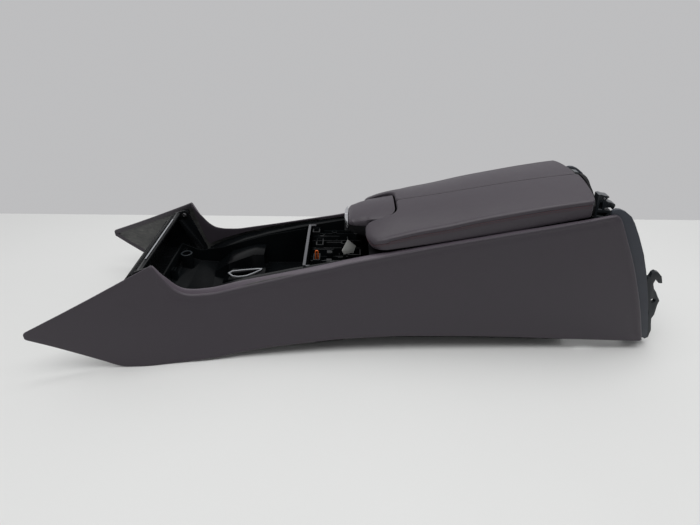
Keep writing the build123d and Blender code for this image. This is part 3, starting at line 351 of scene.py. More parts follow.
def moulded_copy(nodename, mat, width=0.6, segs=2, angle=28.0, body="root", suffix="_moulded", slot=None, second=None, where=None):
    """A part whose edges get the small radius that the mould gives them."""
    src = NODES[nodename]
    bm = bmesh.new()
    bm.from_mesh(src.data)
    bmesh.ops.remove_doubles(bm, verts=bm.verts, dist=2e-6)
    bmesh.ops.dissolve_limit(bm, angle_limit=math.radians(0.6), use_dissolve_boundaries=False,
                             verts=bm.verts, edges=bm.edges, delimit=set())
    me = bpy.data.meshes.new(nodename + suffix)
    bm.to_mesh(me)
    bm.free()
    me.materials.clear()
    me.materials.append(mat)
    me.polygons.foreach_set("material_index", [0] * len(me.polygons))
    ob = bpy.data.objects.new(nodename + suffix, me)
    bpy.context.scene.collection.objects.link(ob)
    mod = ob.modifiers.new("edge", "BEVEL")
    mod.width = width * 0.001
    mod.segments = segs
    mod.limit_method = "ANGLE"
    mod.angle_limit = math.radians(angle)
    mod.use_clamp_overlap = True
    mod.harden_normals = False
    dg = bpy.context.evaluated_depsgraph_get()
    new = bpy.data.meshes.new_from_object(ob.evaluated_get(dg))
    ob.modifiers.clear()
    ob.data = new
    new.polygons.foreach_set("use_smooth", [True] * len(new.polygons))
    new.set_sharp_from_angle(angle=math.radians(42))
    if second is not None:
        # paler faces picked out on the same moulding: painted highlights on lit strips and tops
        new.materials.append(second)
        for poly in new.polygons:
            c, n = poly.center, poly.normal
            if where(c.x * 1000 - OX, c.y * 1000, c.z * 1000, n):
                poly.material_index = 1
    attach(ob, body)
    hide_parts(nodename)
    return ob


def resample(pts, step):
    """Points at even steps along an open polyline, both ends kept."""
    out = []
    pts = [np.array(p, float) for p in pts]
    d = [0.0]
    for a, b in zip(pts, pts[1:]):
        d.append(d[-1] + float(np.hypot(*(b - a))))
    n = max(2, int(round(d[-1] / step)) + 1)
    j = 0
    for k in range(n):
        t = d[-1] * k / (n - 1)
        while j < len(d) - 2 and d[j + 1] < t:
            j += 1
        f = (t - d[j]) / max(1e-9, d[j + 1] - d[j])
        out.append(pts[j] + (pts[j + 1] - pts[j]) * f)
    return out


def fillet(pts, radii, n=8):
    """Open polyline with arcs at its inner corners."""
    out = [np.array(pts[0], float)]
    for k in range(1, len(pts) - 1):
        p0, p1, p2 = (np.array(pts[k + q], float) for q in (-1, 0, 1))
        r = radii[k - 1]
        if r <= 0:
            out.append(p1)
            continue
        a, b = p0 - p1, p2 - p1
        a /= np.hypot(*a)
        b /= np.hypot(*b)
        half = math.acos(max(-1, min(1, float(a @ b)))) / 2
        t = r / math.tan(half)
        c = p1 + (a + b) / np.hypot(*(a + b)) * (r / math.sin(half))
        s, e = p1 + a * t, p1 + b * t
        a0, a1 = math.atan2(*(s - c)[::-1]), math.atan2(*(e - c)[::-1])
        d = (a1 - a0 + math.pi) % (2 * math.pi) - math.pi
        for q in range(n + 1):
            w = a0 + d * q / n
            out.append(c + r * np.array([math.cos(w), math.sin(w)]))
    out.append(np.array(pts[-1], float))
    return out


def seg_dist(P, poly, closed=False):
    """Distance of each point to a polyline."""
    A = np.array(poly[:-1] if not closed else poly, float)
    B = np.array(poly[1:] if not closed else poly[1:] + poly[:1], float)
    best = np.full(len(P), 1e9)
    for i0 in range(0, len(P), 2000):
        Q = P[i0:i0 + 2000, None, :]
        d = B - A
        t = ((Q - A) * d).sum(-1) / np.maximum(1e-12, (d * d).sum(-1))
        t = np.clip(t, 0, 1)
        c = A + t[..., None] * d
        best[i0:i0 + 2000] = np.sqrt(((Q - c) ** 2).sum(-1)).min(1)
    return best


def inward(loop):
    """Inward normal at each point of a counter-clockwise closed loop."""
    L = np.array(loop, float)
    t = np.roll(L, -1, 0) - np.roll(L, 1, 0)
    t /= np.maximum(1e-9, np.hypot(t[:, 0], t[:, 1]))[:, None]
    return np.stack([-t[:, 1], t[:, 0]], 1)


def area2(loop):
    L = np.array(loop, float)
    x, y = L[:, 0], L[:, 1]
    return 0.5 * float((x * np.roll(y, -1) - y * np.roll(x, -1)).sum())


def triangulate(loop, inner):
    """Triangles inside a closed loop that use its points and the inner points."""
    n = len(loop)
    pts = [Vector((float(p[0]), float(p[1]))) for p in list(loop) + list(inner)]
    edges = [(i, (i + 1) % n) for i in range(n)]
    v, _, f, ov, _, _ = geometry.delaunay_2d_cdt(pts, edges, [], 1, 1e-5)
    back = {}
    for i, o in enumerate(ov):
        for q in o:
            back[q] = i
    return [tuple(p) for p in v], [tuple(t) for t in f], back, n


def edge_groups(groups, step):
    """groups: [(points, R, drop)], in order round the outline. Returns the loop and each group's points."""
    loop, parts = [], []
    for pts, R, drop in groups:
        q = resample(pts, step)
        parts.append((q, R, drop))
        loop += q[:-1]
    return loop, parts


def roll_drop(P, parts, power=4.0, shape=2.2):
    """How far the surface falls towards its edges, each with its own radius."""
    tot = np.zeros(len(P))
    for q, R, drop in parts:
        d = seg_dist(P, q)
        t = np.clip(1.0 - d / R, 0.0, 1.0)
        y = 1.0 - (1.0 - t ** shape) ** (1.0 / shape)
        tot += (drop * y) ** power
    return tot ** (1.0 / power)


def crowned(name, groups, top, wall, cap_bottom, place, step=3.0, grid=6.0, rings=(0.25, 0.7, 1.3, 2.2, 3.4, 5.0, 7.0, 9.5),
            mats=(), body="root", replaces=(), tag_wall=0, tag_bottom=0, cap_grid=14.0, angle=60.0):
    """Closed crowned form over an outline.
    top(P) gives the height of the covered face before its edges roll down.
    wall(i, p, normal, h) lists (inset, height, tag) below the outline point, from the top.
    cap_bottom(P) gives the height of the underside."""
    loop, parts = edge_groups(groups, step)
    if area2(loop) < 0:
        raise ValueError(name + ": the outline runs clockwise")
    L = np.array(loop)
    N = inward(loop)
    lo, hi = L.min(0), L.max(0)
    gx = np.arange(lo[0] + grid / 2, hi[0], grid)
    gy = np.arange(lo[1] + grid / 2, hi[1], grid)
    G = np.array([(x + (grid / 2 if k % 2 else 0.0), y) for k, y in enumerate(gy) for x in gx])
    G = G[inside(G, L)]
    G = G[seg_dist(G, loop, True) > rings[-1] + grid * 0.45]
    R = []
    for k, d in enumerate(rings):
        q = (L + N * d)[(k % 2)::1]
        q = q[inside(q, L)]
        keep = seg_dist(q, loop, True) > d * 0.985
        R.append(q[keep])
    inner = np.concatenate([G] + R)
    v2, faces, back, n = triangulate(loop, inner)
    P = np.array(v2)
    h = top(P) - roll_drop(P, parts)
    verts = [place(p[0], p[1], z) for p, z in zip(v2, h)]
    tags = [0] * len(faces)
    prev = [back[i] for i in range(n)]
    cols = [wall(i, L[i], N[i], float(h[prev[i]])) for i in range(n)]
    for k in range(len(cols[0])):
        cur = []
        for i in range(n):
            inset, z, tag = cols[i][k]
            p = L[i] + N[i] * inset
            cur.append(len(verts))
            verts.append(place(p[0], p[1], z))
        for i in range(n):
            j = (i + 1) % n
            faces.append((prev[i], prev[j], cur[j], cur[i]))
            tags.append(cols[i][k][2])
        prev = cur
    # underside
    last = [L[i] + N[i] * cols[i][-1][0] for i in range(n)]
    lastn = np.array(last)
    g2 = np.array([(x, y) for y in np.arange(lo[1], hi[1], cap_grid) for x in np.arange(lo[0], hi[0], cap_grid)])
    g2 = g2[inside(g2, lastn)]
    g2 = g2[seg_dist(g2, last, True) > cap_grid * 0.4]
    b2, bf, bback, _ = triangulate(last, g2)
    hb = cap_bottom(np.array(b2))
    remap = {}
    for i in range(n):
        remap[bback[i]] = prev[i]
    for k, p in enumerate(b2):
        if k not in remap:
            remap[k] = len(verts)
            verts.append(place(p[0], p[1], float(hb[k])))
    for t in bf:
        faces.append(tuple(remap[q] for q in t)[::-1])
        tags.append(tag_bottom)
    return finish_mesh(name, verts, faces, mats, tags, body, angle, replaces)


def inside(P, L):
    """True for points inside the closed loop L."""
    x, y = P[:, 0], P[:, 1]
    c = np.zeros(len(P), bool)
    xa, ya = L[:, 0], L[:, 1]
    xb, yb = np.roll(xa, -1), np.roll(ya, -1)
    for i in range(len(L)):
        cond = (ya[i] > y) != (yb[i] > y)
        if cond.any():
            xi = (xb[i] - xa[i]) * (y - ya[i]) / (yb[i] - ya[i] + 1e-12) + xa[i]
            c ^= cond & (x < xi)
    return c


def mm(x, y, z):
    return ((x + OX) * 0.001, y * 0.001, z * 0.001)


# ------------------------------------------------------------------ side panels
def zt_soft(x):
    h = min(9.0, 1.2 + 0.5 * abs(x + 318.0), 1.0 + abs(x + 518.0) * 0.6)
    return soft(x, ZT, h)


def zi_soft(x):
    return soft(x, ZI, min(9.0, 1.2 + 0.5 * abs(x + 318.0)))


def zb_soft(x):
    return soft(x, ZB, min(7.0, 1.0 + abs(x + 518.0) * 0.6))


def outer_y(x, z):
    zt = max(zt_soft(x), 100.0) if x < 408 else 257.0
    zb = 15.0 * min(1.0, max(0.0, (x + 310.0) / 60.0))
    wt, wb = soft(x, WT, 22.0), soft(x, WB, 22.0)
    if x < -500:
        wt, wb = lerp(x, WT), lerp(x, WB)
    return wb + (wt - wb) * (z - zb) / (zt - zb)


def rim_in(x):
    """|Y| of the rim's inner edge; on the wing it is only the board's edge."""
    w = outer_y(x, zt_soft(x))
    wing = w - 4.4
    rim = soft(x, WI, 12.0) if x > -318 else lerp(x, WI, True)
    f = min(1.0, max(0.0, (x + 326.0) / 14.0))
    return wing + (rim - wing) * f * f * (3 - 2 * f)


TOP_R, TOP_D = 5.4, 3.2
# how many wall columns of the rim get the paler leather, the painted light
PAINTED_LIGHT_RIM_COLS = 7


def side_panel(side):
    sg = -1 if side == "left" else 1
    bottom = [(x, zb_soft(x)) for x in np.arange(-517.0, 515.0, 3.0)] + [(514.6, 15.8)]
    rear_low = [(514.6, 15.8), (516.2, 16.8), (516.3, 19.5)]
    rear = [(516.3, 19.5)] + smooth_curve(REAR[::-1] + [(408.5, 255.4)], 3.0)
    top_rim = [(x, zt_soft(x)) for x in np.arange(408.5, -317.5, -2.5)] + [(-317.6, 176.4), (-318.6, 177.9)]
    top_wing = [(-318.6, 177.9), (-320.0, 177.5)] + [(x, zt_soft(x)) for x in np.arange(-323.0, -516.5, -2.5)] + [(-516.8, 87.0)]
    tip = [(-516.8, 87.0), (-517.9, 86.0), (-518.0, 84.0), (-518.0, 78.4), (-517.8, 76.4), (-517.0, zb_soft(-517.0))]
    groups = [(bottom, 1.8, 1.2), (rear_low, 2.5, 1.6), (rear, 6.5, 4.6), (top_rim, TOP_R, TOP_D),
              (top_wing, 1.6, 1.0), (tip, 1.4, 1.0)]

    def place(x, z, h):
        return mm(x, sg * h, z)

    def top(P):
        out = np.empty(len(P))
        for k, (x, z) in enumerate(P):
            out[k] = outer_y(x, z)
        # the wrap tucks in a little under the rim before it rolls out over it
        d = seg_dist(P, resample(top_rim, 3.0))
        amt = np.clip((P[:, 0] + 322.0) / 30.0, 0.0, 1.0)
        out -= amt * 1.0 * np.exp(-((d - 8.0) / 4.0) ** 2)
        # and behind the soft fold along the rear edge
        dr = seg_dist(P, resample(rear[4:], 3.0))
        out += 0.55 * np.exp(-((dr - 8.5) / 2.4) ** 2) - 0.35 * np.exp(-((dr - 14.5) / 4.0) ** 2)
        return out

    n_wall = 16

    def wall(i, p, nrm, h):
        x, z = float(p[0]), float(p[1])
        # which edge this point is on
        on_top = z > zt_soft(min(x, 408.0)) - 2.5 and x < 411
        rim = on_top and x > -318.4
        y_out = h
        cols = []
        if rim:
            yi = rim_in(x)
            yi = max(yi, 99.5) if x > 395 else yi
            zi = max(zi_soft(x), 0.0) if x > -312 else z - 0.3 + (zi_soft(x) - z) * 0.0
            if x <= -300:
                f = min(1.0, max(0.0, (x + 318.0) / 18.0))
                zi = z + (zi_soft(x) - z) * f
            rise = zi - z
            zr = soft(x, ZRET, 3.0) if x < -20 else zi - 5.5
            if -60 < x <= -20:
                zr = min(zr, zi - 5.5)
            zr = min(zr, zi - 3.2)
            slope = []
            for t in (0.12, 0.3, 0.5, 0.7, 0.86):
                slope.append((-(rise * t + 0.5 * math.sin(math.pi * t)), y_out + (yi + 1.6 - y_out) * t))
            for inset, y in slope:
                cols.append((inset, y, 0))
            cols.append((-rise, yi + 1.0, 0))
            cols.append((-(rise - 0.35), yi + 0.3, 0))
            cols.append((-(rise - 1.1), yi, 0))
            for t in (0.25, 0.5, 0.75, 1.0):
                zz = (zi - 1.4) + (zr - (zi - 1.4)) * t
                cols.append((-(zz - z), yi + 0.15 * t, 0))
            y_in = outer_y(x, zr) - 3.5
            cols.append((-(zr - 0.4 - z), yi + 0.9, 0))
            cols.append((-(zr - 0.2 - z), min(y_in, yi + 2.4), 1))
            cols.append((-(zr + 0.0 - z), max(yi + 2.5, min(y_in, yi + 4.0)), 1))
            cols.append((-(zr - 0.6 - z), y_in, 1))
            return [(c[0], c[1], c[2], True) for c in cols]
        # plain edges: the wrap turns round the board and ends in a hem on its back
        thick = 3.5
        hem = 9.0
        if x > 405 and z > 22 and not on_top:       # rear edge
            seq = [(0.0, h - 1.2), (0.0, h - 2.6), (0.2, h - 4.0), (0.8, h - 5.0), (2.0, h - 5.6), (3.6, h - 5.8)]
            seq += [(5.0, h - 5.6), (6.0, h - 5.0), (6.8, h - 4.2), (8.0, h - 3.8), (9.5, h - 3.6), (11.0, h - 3.4),
                    (12.5, h - 3.2), (13.5, h - 2.6), (14.0, h - 2.4), (15.0, h - 2.3)]
            out = []
            for k, (a, y) in enumerate(seq):
                full = outer_y(x, z)
                out.append((a, y if a < 8 else min(y, full - thick), 0 if k < 10 else 1, False))
            return out
        base = h
        seq = [(0.0, base - 0.7), (0.05, base - 1.5), (0.3, base - 2.2), (0.9, base - 2.9), (1.6, base - 3.2), (2.6, base - 3.3),
               (4.0, base - 3.25), (5.5, base - 3.2), (7.0, base - 3.1), (8.2, base - 3.0), (8.9, base - 2.8), (9.2, base - 2.5),
               (9.4, base - 2.3), (9.8, base - 2.2), (10.4, base - 2.15), (11.2, base - 2.1)]
        return [(a, y, 0 if k < 11 else 1, False) for k, (a, y) in enumerate(seq)]

    return build_panel(side, groups, top, wall, place, n_wall)


def smooth_curve(pts, step):
    """Catmull-Rom curve through the points, sampled at about the given step."""
    out = []
    P = [np.array(p, float) for p in pts]
    P = [2 * P[0] - P[1]] + P + [2 * P[-1] - P[-2]]
    for k in range(1, len(P) - 2):
        a, b, c, d = P[k - 1:k + 3]
        n = max(2, int(np.hypot(*(c - b)) / step))
        for q in range(n):
            t = q / n
            out.append(tuple(0.5 * ((2 * b) + (c - a) * t + (2 * a - 5 * b + 4 * c - d) * t * t
                                    + (3 * b - 3 * c + d - a) * t ** 3)))
    out.append(tuple(P[-2]))
    return out


def build_panel(side, groups, top, wall, place, n_wall):
    loop, parts = edge_groups(groups, 2.6)
    L = np.array(loop)
    if area2(loop) < 0:
        raise ValueError("panel outline runs clockwise")
    N = inward(loop)
    n = len(loop)
    rings = (0.3, 0.8, 1.5, 2.4, 3.6, 5.0, 6.8, 9.0, 12.0, 16.0)
    lo, hi = L.min(0), L.max(0)
    grid = 8.0
    G = np.array([(x + (grid / 2 if k % 2 else 0.0), y) for k, y in enumerate(np.arange(lo[1] + 4, hi[1], grid))
                  for x in np.arange(lo[0] + 4, hi[0], grid)])
    G = G[inside(G, L)]
    G = G[seg_dist(G, loop, True) > rings[-1] + grid * 0.45]
    R = []
    for d in rings:
        q = L + N * d
        q = q[inside(q, L)]
        R.append(q[seg_dist(q, loop, True) > d * 0.985])
    v2, faces, back, _ = triangulate(loop, np.concatenate([G] + R))
    P = np.array(v2)
    h = top(P) - roll_drop(P, parts)
    verts = [place(p[0], p[1], z) for p, z in zip(v2, h)]
    tags = [0] * len(faces)
    prev = [back[i] for i in range(n)]
    cols = [wall(i, L[i], N[i], float(h[prev[i]])) for i in range(n)]
    last = [None] * n
    for k in range(n_wall):
        cur = []
        for i in range(n):
            inset, y, tag, vertical = cols[i][k]
            p = L[i] + (np.array([0.0, -1.0]) if vertical else N[i]) * inset
            cur.append(len(verts))
            verts.append(place(p[0], p[1], y))
            last[i] = p
        for i in range(n):
            j = (i + 1) % n
            faces.append((prev[i], prev[j], cur[j], cur[i]))
            tag = max(cols[i][k][2], cols[j][k][2])
            # the rim's upward face gets the paler rim leather: painted light where the lamp above falls on it
            if tag == 0 and k < PAINTED_LIGHT_RIM_COLS and cols[i][k][3] and cols[j][k][3]:
                tag = 2
            tags.append(tag)
        prev = cur
    lastn = np.array(last)
    g2 = np.array([(x, y) for y in np.arange(lo[1], hi[1], 14.0) for x in np.arange(lo[0], hi[0], 14.0)])
    g2 = g2[inside(g2, lastn)]
    g2 = g2[seg_dist(g2, last, True) > 5.0]
    b2, bf, bback, _ = triangulate(last, g2)
    remap = {bback[i]: prev[i] for i in range(n)}
    for k, p in enumerate(b2):
        if k not in remap:
            remap[k] = len(verts)
            verts.append(place(p[0], p[1], outer_y(p[0], p[1]) - 3.5))
    for t in bf:
        q = tuple(remap[a] for a in t)
        if len(set(q)) == 3:
            faces.append(q[::-1])
            tags.append(1)
    name = side + "_panel_wrap"
    return finish_mesh(name, verts, faces, [M_PANEL, M_RAW, M_RIM_PAINTED_LIGHT], tags, "root", 50.0,
                       (side + "_side_panel",))


for side in ("left", "right"):
    side_panel(side)


# ------------------------------------------------------------------ armrest lids
def lid_top(P):
    out = np.empty(len(P))
    for k, (x, y) in enumerate(P):
        s, c = soft(x, SEAM, 10.0), soft(x, CREASE, 22.0, 15)
        t = min(abs(y), 92.0) / 90.0
        z = s - (s - c) * t ** soft(x, FULL, 8.0)
        out[k] = z
    return out


def seam_drop(span):
    """Depth of the sewn groove below the rolled edge of a lid."""
    return np.minimum(2.7, span * 0.2)


def lid(side):
    sg = -1 if side == "left" else 1
    gap = 0.75

    # plan outline, |Y| as the second coordinate, counter-clockwise
    edge = LID_EDGE[side]
    seam = [(81.5, gap), (edge[0] - 1.6, gap)]
    rear = smooth_curve([(edge[0] - 1.6, gap), (edge[0], gap + 1.6)] + [(x, y) for x, y in zip(edge[1:8], REAR_Y[1:8])]
                        + [(381.2, 95.8), (379.9, 97.6), (377.8, 98.8)], 4.0)
    outer = [(377.8, 98.8), (62.0, 98.9)]
    front = fillet([(62.0, 98.9), (26.6, 98.9), (26.2, 56.0)], [32.0], 16) + [(26.3, 53.2), (27.1, 51.3), (28.6, 50.4), (31.0, 50.2)]
    cut = fillet([(31.0, 50.2), (80.4, 50.0), (80.4, gap + 1.4), (81.5, gap)], [21.0, 0.6], 14)
    roll = 4.6 if side == "left" else 5.8
    groups = [(seam, 2.2, 2.2), (rear, 2.8, 2.6), (outer, 6.4, roll), (front, 9.0, 6.4), (cut, 3.4, 4.4)]
    zsum = lambda x: soft(x, LOWER, 6.0)

    def place(x, y, z):
        return mm(x, sg * y, z)

    def wall(i, p, nrm, h):
        x, y = float(p[0]), float(p[1])
        low = zsum(x) - 0.5
        span = h - low
        on_outer = y > 60 and x < 379 or (x < 33 and y > 50.1)
        cols = []
        if on_outer:
            g = seam_drop(span)
            # the front wall leans back towards its lower edge
            lean = 7.2 * min(1.0, max(0.0, (62.0 - x) / 34.0)) if y > 51 else 7.2 * (y - 50.0)
            pro = [(0.0, 0.5), (0.0, g - 1.1), (0.15, g - 0.55), (0.85, g - 0.06), (0.85, g + 0.06), (0.2, g + 0.5),
                   (0.05, g + 1.2)]
            for a, d in pro:
                dd = min(d, span - 3.0)
                cols.append((a + lean * (dd / span) ** 1.3, h - dd, 0))
            z0 = h - min(g + 1.2, span - 3.0)
            for t, a in ((0.3, 0.0), (0.55, 0.0), (0.74, 0.03), (0.85, 0.12), (0.92, 0.32), (0.97, 0.75)):
                z = z0 + (low - z0) * t
                cols.append((a + lean * ((h - z) / span) ** 1.3, z, 0))
            cols.append((1.5 + lean, low, 0))
            cols.append((1.8 + lean, low, 1))
            cols.append((1.8 + lean, zsum(x) + 3.6, 1))
        else:
            # along the cut round the nose, the wall more than 4 mm below the edge is black matte: painted shade in the
            # gap to the nose
            gap_shade_depth = 4.0 if x < 84.0 and y > 1.0 else 1e3
            for t, a in ((0.05, 0.0), (0.11, 0.0), (0.2, 0.0), (0.35, 0.0), (0.5, 0.0), (0.65, 0.0), (0.78, 0.05),
                         (0.84, 0.1), (0.88, 0.2), (0.92, 0.35), (0.95, 0.55), (0.975, 0.85), (0.99, 1.2)):
                z = h + (low - h) * t
                cols.append((a, z, 1 if h - z > gap_shade_depth else 0))
            cols.append((1.8, low, 0 if gap_shade_depth > 5 else 1))
            cols.append((2.0, low, 1))
            cols.append((2.0, zsum(x) + 3.6, 1))
        return cols

    def under(P):
        return np.array([zsum(x) + 3.6 for x, _ in P])

    ob = crowned(side + "_lid_cushion", groups, lid_top, wall, under, place, step=2.8, grid=6.0,
                 mats=[M_LID, M_MATTE], body=side + "_lid", replaces=(side + "_lid_pad",), angle=55.0)
    # stitch path: the outer and front edges, at the level of the seam
    path = resample(outer, 1.0)[:-1] + resample(front, 1.0)
    loop, parts = edge_groups(groups, 2.8)
    Q = np.array(path)
    hh = lid_top(Q) - roll_drop(Q, parts)
    t = np.gradient(Q, axis=0)
    t /= np.hypot(t[:, 0], t[:, 1])[:, None]
    nrm = np.stack([t[:, 1], -t[:, 0]], 1)
    return Q, hh, nrm, sg


def stitches(name, pts, normals, body, pitch=4.2, length=3.1, r=0.42, mat=None):
    """Short thread segments laid end to end along a 3-D path given in mm."""
    P = np.array(pts)
    seg = np.sqrt(((P[1:] - P[:-1]) ** 2).sum(1))
    s = np.concatenate([[0], np.cumsum(seg)])
    verts, faces = [], []
    k = 0
    while (k + 1) * pitch < s[-1]:
        a, b = k * pitch + 0.4, k * pitch + 0.4 + length
        pa = np.array([np.interp(a, s, P[:, c]) for c in range(3)])
        pb = np.array([np.interp(b, s, P[:, c]) for c in range(3)])
        nn = np.array([np.interp((a + b) / 2, s, normals[:, c]) for c in range(3)])
        nn /= np.linalg.norm(nn)
        ax = pb - pa
        ln = np.linalg.norm(ax)
        if ln < 0.5:
            k += 1
            continue
        ax /= ln
        side_v = np.cross(ax, nn)
        base = len(verts)
        rings = ((-0.02, 0.15, -0.35), (0.14, 0.85, 0.0), (0.5, 1.0, 0.12), (0.86, 0.85, 0.0), (1.02, 0.15, -0.35))
        for f, w, lift in rings:
            c = pa + ax * ln * f + nn * lift
            for q in range(6):
                w0 = math.pi * 2 * q / 6
                o = (nn * math.sin(w0) * 0.8 + side_v * math.cos(w0)) * r * w
                verts.append(mm(*(c + o)))
        for g in range(4):
            for q in range(6):
                a0, a1 = base + g * 6 + q, base + g * 6 + (q + 1) % 6
                faces.append((a0, a1, a1 + 6, a0 + 6))
        faces.append(tuple(base + q for q in range(6))[::-1])
        faces.append(tuple(base + 24 + q for q in range(6)))
        k += 1
    return finish_mesh(name, verts, faces, [mat or M_THREAD], None, body, 80.0)


for side in ("left", "right"):
    Q, hh, nrm, sg = lid(side)
    for tag, off, r in (("upper", -1.0, 0.50), ("lower", -4.4, 0.34)):
        span = hh - np.array([soft(x, LOWER, 6.0) - 0.5 for x in Q[:, 0]])
        z = hh - seam_drop(span) + off
        lean = 7.2 * np.clip((62.0 - Q[:, 0]) / 34.0, 0, 1) * (Q[:, 1] > 51)
        back = lean * ((hh - z) / span) ** 1.3 - 0.05
        pts = np.stack([Q[:, 0] - nrm[:, 0] * back, sg * (Q[:, 1] - nrm[:, 1] * back), z], 1)
        nn = np.stack([nrm[:, 0], sg * nrm[:, 1], np.full(len(Q), 0.12)], 1)
        keep = Q[:, 1] > 53.0
        stitches(side + "_lid_stitch_" + tag, pts[keep], nn[keep], side + "_lid", r=r)


# ------------------------------------------------------------------ nose block
def nose():
    pts = [(-3.1, -29.0), (-1.2, -33.4), (4, -36.4), (18.7, -41.0), (34.5, -44.5), (48, -46.0), (56.0, -46.1)]
    lowside = smooth_curve(pts, 2.0)
    corner = fillet([(56.0, -46.1), (77.0, -46.0), (77.0, 0.0)], [19.6], 14)
    front = [(-3.1, 29.0), (-3.1, -29.0)]
    tip_l = [q for q in lowside if q[0] < 9.0]
    side_l = tip_l[-1:] + [q for q in lowside if 9.0 <= q[0] < 27.0]
    flank_l = side_l[-1:] + [q for q in lowside if q[0] >= 27.0]
    side_r = [(x, -y) for x, y in side_l][::-1]
    flank_r = [(x, -y) for x, y in flank_l][::-1]
    tip_r = [(x, -y) for x, y in tip_l][::-1]
    back = corner + [(x, -y) for x, y in corner][::-1][1:]
    groups = [(front, 3.0, 3.0), (tip_l, 7.0, 4.0), (side_l, 11.0, 7.4), (flank_l, 4.6, 3.2), (back, 2.2, 2.2), (flank_r, 4.6, 3.2),
              (side_r, 11.0, 7.4), (tip_r, 7.0, 4.0)]

    def top(P):
        out = np.empty(len(P))
        for k, (x, y) in enumerate(P):
            w = soft(x, NOSE_W, 3.0)
            c = soft(x, NOSE_C, 4.0)
            e = soft(x, NOSE_E, 4.0) + 1.2
            t = min(1.0, abs(y) / max(1.0, w - 3.0))
            out[k] = c - (c - e) * t ** 2.2
        return out

    def wall(i, p, nrm, h):
        low = soft(float(p[0]), NOSE_B, 3.0)
        low = min(low, h - 0.8)
        # beside and behind, only the edge is leather: the wall below is black matte, a dark sheet that stands in for
        # the shade in the gap to the lids
        gap_shade_black = float(p[0]) > 33.0
        cols = []
        for t, a in ((0.06, 0.0), (0.15, 0.0), (0.3, 0.0), (0.45, 0.05), (0.6, 0.12), (0.75, 0.3), (0.86, 0.6), (0.94, 1.0)):
            cols.append((a, h + (low - h) * t, 1 if gap_shade_black and t > 0.07 else 0))
        cols.append((1.7, low, 1 if gap_shade_black else 0))
        cols.append((3.0, low, 1))
        return cols

    ob = crowned("nose_cushion", groups, top, wall, lambda P: np.array([soft(x, NOSE_B, 3.0) for x, _ in P]),
                 lambda x, y, z: mm(x, y, z), step=1.8, grid=4.0, rings=(0.3, 0.8, 1.5, 2.4, 3.6, 5.2, 7.2),
                 mats=[M_LID, M_MATTE], body="root", replaces=("nose_pad",), cap_grid=9.0, angle=55.0)


nose()

# ------------------------------------------------------------------ moulded parts
for nm, mat, w, slot_name in (
        ("console_carrier", M_GLOSS, 0.7, "black_gloss"),
        ("partition_plate", M_GLOSS, 0.6, "black_gloss"),
        ("rear_frame", M_FLANGE, 0.7, "black_gloss"), ("armrest_base", M_MATTE, 0.5, "black_matte"),
        ("nose_core", M_MATTE, 0.6, "black_matte"), ("storage_bin", M_MATTE, 1.0, "black_matte"),
        ("module_bracket", M_BRACKET, 0.45, "black_matte"), ("latch_housing", M_MATTE, 0.3, "black_matte"),
        ("left_rear_clip", M_CLIP_AND_RING_HIGHLIGHT, 0.9, "black_matte"), ("right_rear_clip", M_CLIP_AND_RING_HIGHLIGHT, 0.9, "black_matte"),
        # the slot bezel is all light grey: painted highlight for its bright outline
        ("harness_socket", M_BRACKET, 0.5, "black_matte"), ("slot_bezel", M_EDGE_PAINTED_HIGHLIGHT, 0.6, "bezel_black"),
        # the partition trim is grey: painted highlight along the partition's top edge
        ("partition_trim", M_TRIM_PAINTED_HIGHLIGHT, 0.8, "bezel_black"), ("harness_plug", M_BRACKET, 0.6, "bezel_black"),
        ("bin_mat", M_FELT, 0.6, "bin_felt"), ("blank_tag", M_TAG, 0.2, "tag_white")):
    moulded_copy(nm, mat, w, 2, slot=slot_name)
for side in ("left", "right"):
    # the towers' upward-facing faces get the paler grey: painted light on their tops
    moulded_copy(side + "_rear_tower", M_CLIP_AND_RING_HIGHLIGHT, 0.5, 2, slot="black_gloss", second=M_TOWER_TOP_PAINTED_LIGHT,
                 where=lambda x, y, z, n: n.z > 0.5)
# a thin strip along the front bar's top edge gets the light grey: painted highlight
moulded_copy("front_cross_frame", M_FRAME, 0.35, 2, slot="black_gloss", second=M_EDGE_PAINTED_HIGHLIGHT,
             where=lambda x, y, z, n: z > 163.0 and abs(y) < 79.4 and -347 < x < -343)
# the boss ring's top gets the paler clip black: painted highlight round the ring
moulded_copy("selector_well", M_GLOSS, 0.8, 2, slot="black_gloss", second=M_CLIP_AND_RING_HIGHLIGHT,
             where=lambda x, y, z, n: z > 105.6 and n.z > 0.2 and (x + 318) ** 2 + (y - 45) ** 2 < 160)
for side in ("left", "right"):
    moulded_copy(side + "_lid_plate", M_MATTE, 0.5, 2, body=side + "_lid", slot="black_matte")
    moulded_copy(side + "_release_button", M_SILVER, 1.1, 4, body=side + "_release_button", slot="satin_silver")


def coil(nodename):
    """Return springs of a button: a steel copy whose lower ends stand on the core, fixed in place."""
    src = NODES[nodename]
    me = src.data.copy()
    me.name = nodename + "_coil"
    me.materials.clear()
    me.materials.append(M_STEEL)
    ob = bpy.data.objects.new(nodename + "_coil", me)
    bpy.context.scene.collection.objects.link(ob)
    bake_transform(ob)
    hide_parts(nodename)


for side in ("left", "right"):
    coil(side + "_button_springs")

CARRY = {M_STEEL: ["left_hinge_pins", "right_hinge_pins", "latch_pins",
                   "tower_rods", "left_lid_striker", "right_lid_striker", "left_front_foot", "right_front_foot",
                   "left_rear_foot", "right_rear_foot"],
         M_SCREW: ["panel_screws", "wing_screws", "rear_frame_screws", "foot_screws"],
         M_MATTE: ["left_latch_pawl", "right_latch_pawl"],
         M_WIRE: ["harness_wire"]}
for mat, names in CARRY.items():
    for nm in names:
        me = NODES[nm].data
        me.materials.clear()
        me.materials.append(mat)


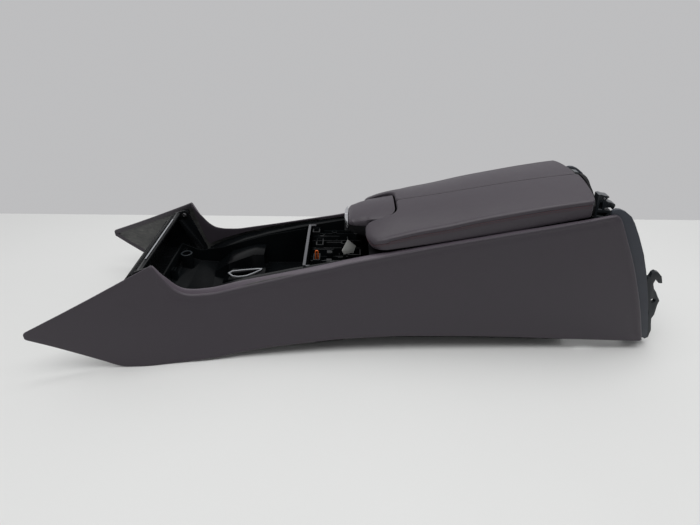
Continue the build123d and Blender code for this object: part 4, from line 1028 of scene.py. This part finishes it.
# ------------------------------------------------------------------ stage
def plane(name, pts, base, rough=0.6, tex=0.02):
    m, nt, bs = material(name + "_mat")
    v = coords(nt)
    n = noise_tex(nt, v, 2.2, 3.0, 0.5)
    lo = tuple(c * (1 - tex) for c in base)
    nt.links.new(ramp(nt, n, [(0.3, lo), (0.7, base)]), bs.inputs["Base Color"])
    bs.inputs["Roughness"].default_value = rough
    bs.inputs["Specular IOR Level"].default_value = 0.3
    me = bpy.data.meshes.new(name)
    me.from_pydata(pts, [], [tuple(range(len(pts)))])
    me.materials.append(m)
    ob = bpy.data.objects.new(name, me)
    bpy.context.scene.collection.objects.link(ob)
    return ob


FLOOR_Z = -0.0004
edge_l, edge_r = 0.4695, 0.4285
kx = (edge_r - edge_l) / 1.8


def edge_y(x):
    return (edge_l + edge_r) / 2 + kx * x


plane("table_top", [(-6, -6, FLOOR_Z), (6, -6, FLOOR_Z), (6, edge_y(6), FLOOR_Z), (-6, edge_y(-6), FLOOR_Z)], (0.74, 0.745, 0.735))

# ------------------------------------------------------------------ light and camera
world = bpy.data.worlds.new("studio")
bpy.context.scene.world = world
world.use_nodes = True
wnt = world.node_tree
wtc = wnt.nodes.new("ShaderNodeTexCoord")
wsep = wnt.nodes.new("ShaderNodeSeparateXYZ")
wnt.links.new(wtc.outputs["Generated"], wsep.inputs["Vector"])
wramp = wnt.nodes.new("ShaderNodeMapRange")
wramp.interpolation_type = "SMOOTHSTEP"
wramp.inputs["From Min"].default_value = -0.35
wramp.inputs["From Max"].default_value = 0.45
wramp.inputs["To Min"].default_value = 0.26
wramp.inputs["To Max"].default_value = 0.52
wnt.links.new(wsep.outputs["Y"], wramp.inputs["Value"])
wnt.nodes["Background"].inputs["Color"].default_value = (0.985, 0.985, 1.0, 1.0)
wnt.links.new(wramp.outputs["Result"], wnt.nodes["Background"].inputs["Strength"])


def area(name, loc, target, size, power, color=(1, 1, 1)):
    d = bpy.data.lights.new(name, "AREA")
    d.shape = "RECTANGLE"
    d.size, d.size_y = size
    d.energy = power
    d.color = color
    o = bpy.data.objects.new(name, d)
    o.location = loc
    o.rotation_euler = (Vector(target) - Vector(loc)).to_track_quat("-Z", "Y").to_euler()
    bpy.context.scene.collection.objects.link(o)
    return o


area("softbox_top", (0.1, -0.25, 2.3), (0.0, 0.0, 0.0), (3.0, 2.0), 50.0)

cam_data = bpy.data.cameras.new("camera")
cam_data.sensor_width = 36.0
cam_data.lens = 526.0 / 700.0 * 36.0
cam = bpy.data.objects.new("camera", cam_data)
cam.location = (-0.008, -0.855, 0.595)
cam.rotation_euler = (math.radians(60.5), 0.0, 0.0)
bpy.context.scene.collection.objects.link(cam)
bpy.context.scene.camera = cam

vs = bpy.context.scene.view_settings
vs.view_transform = "Standard"
vs.look = "None"
vs.exposure = 0.0
vs.gamma = 1.0
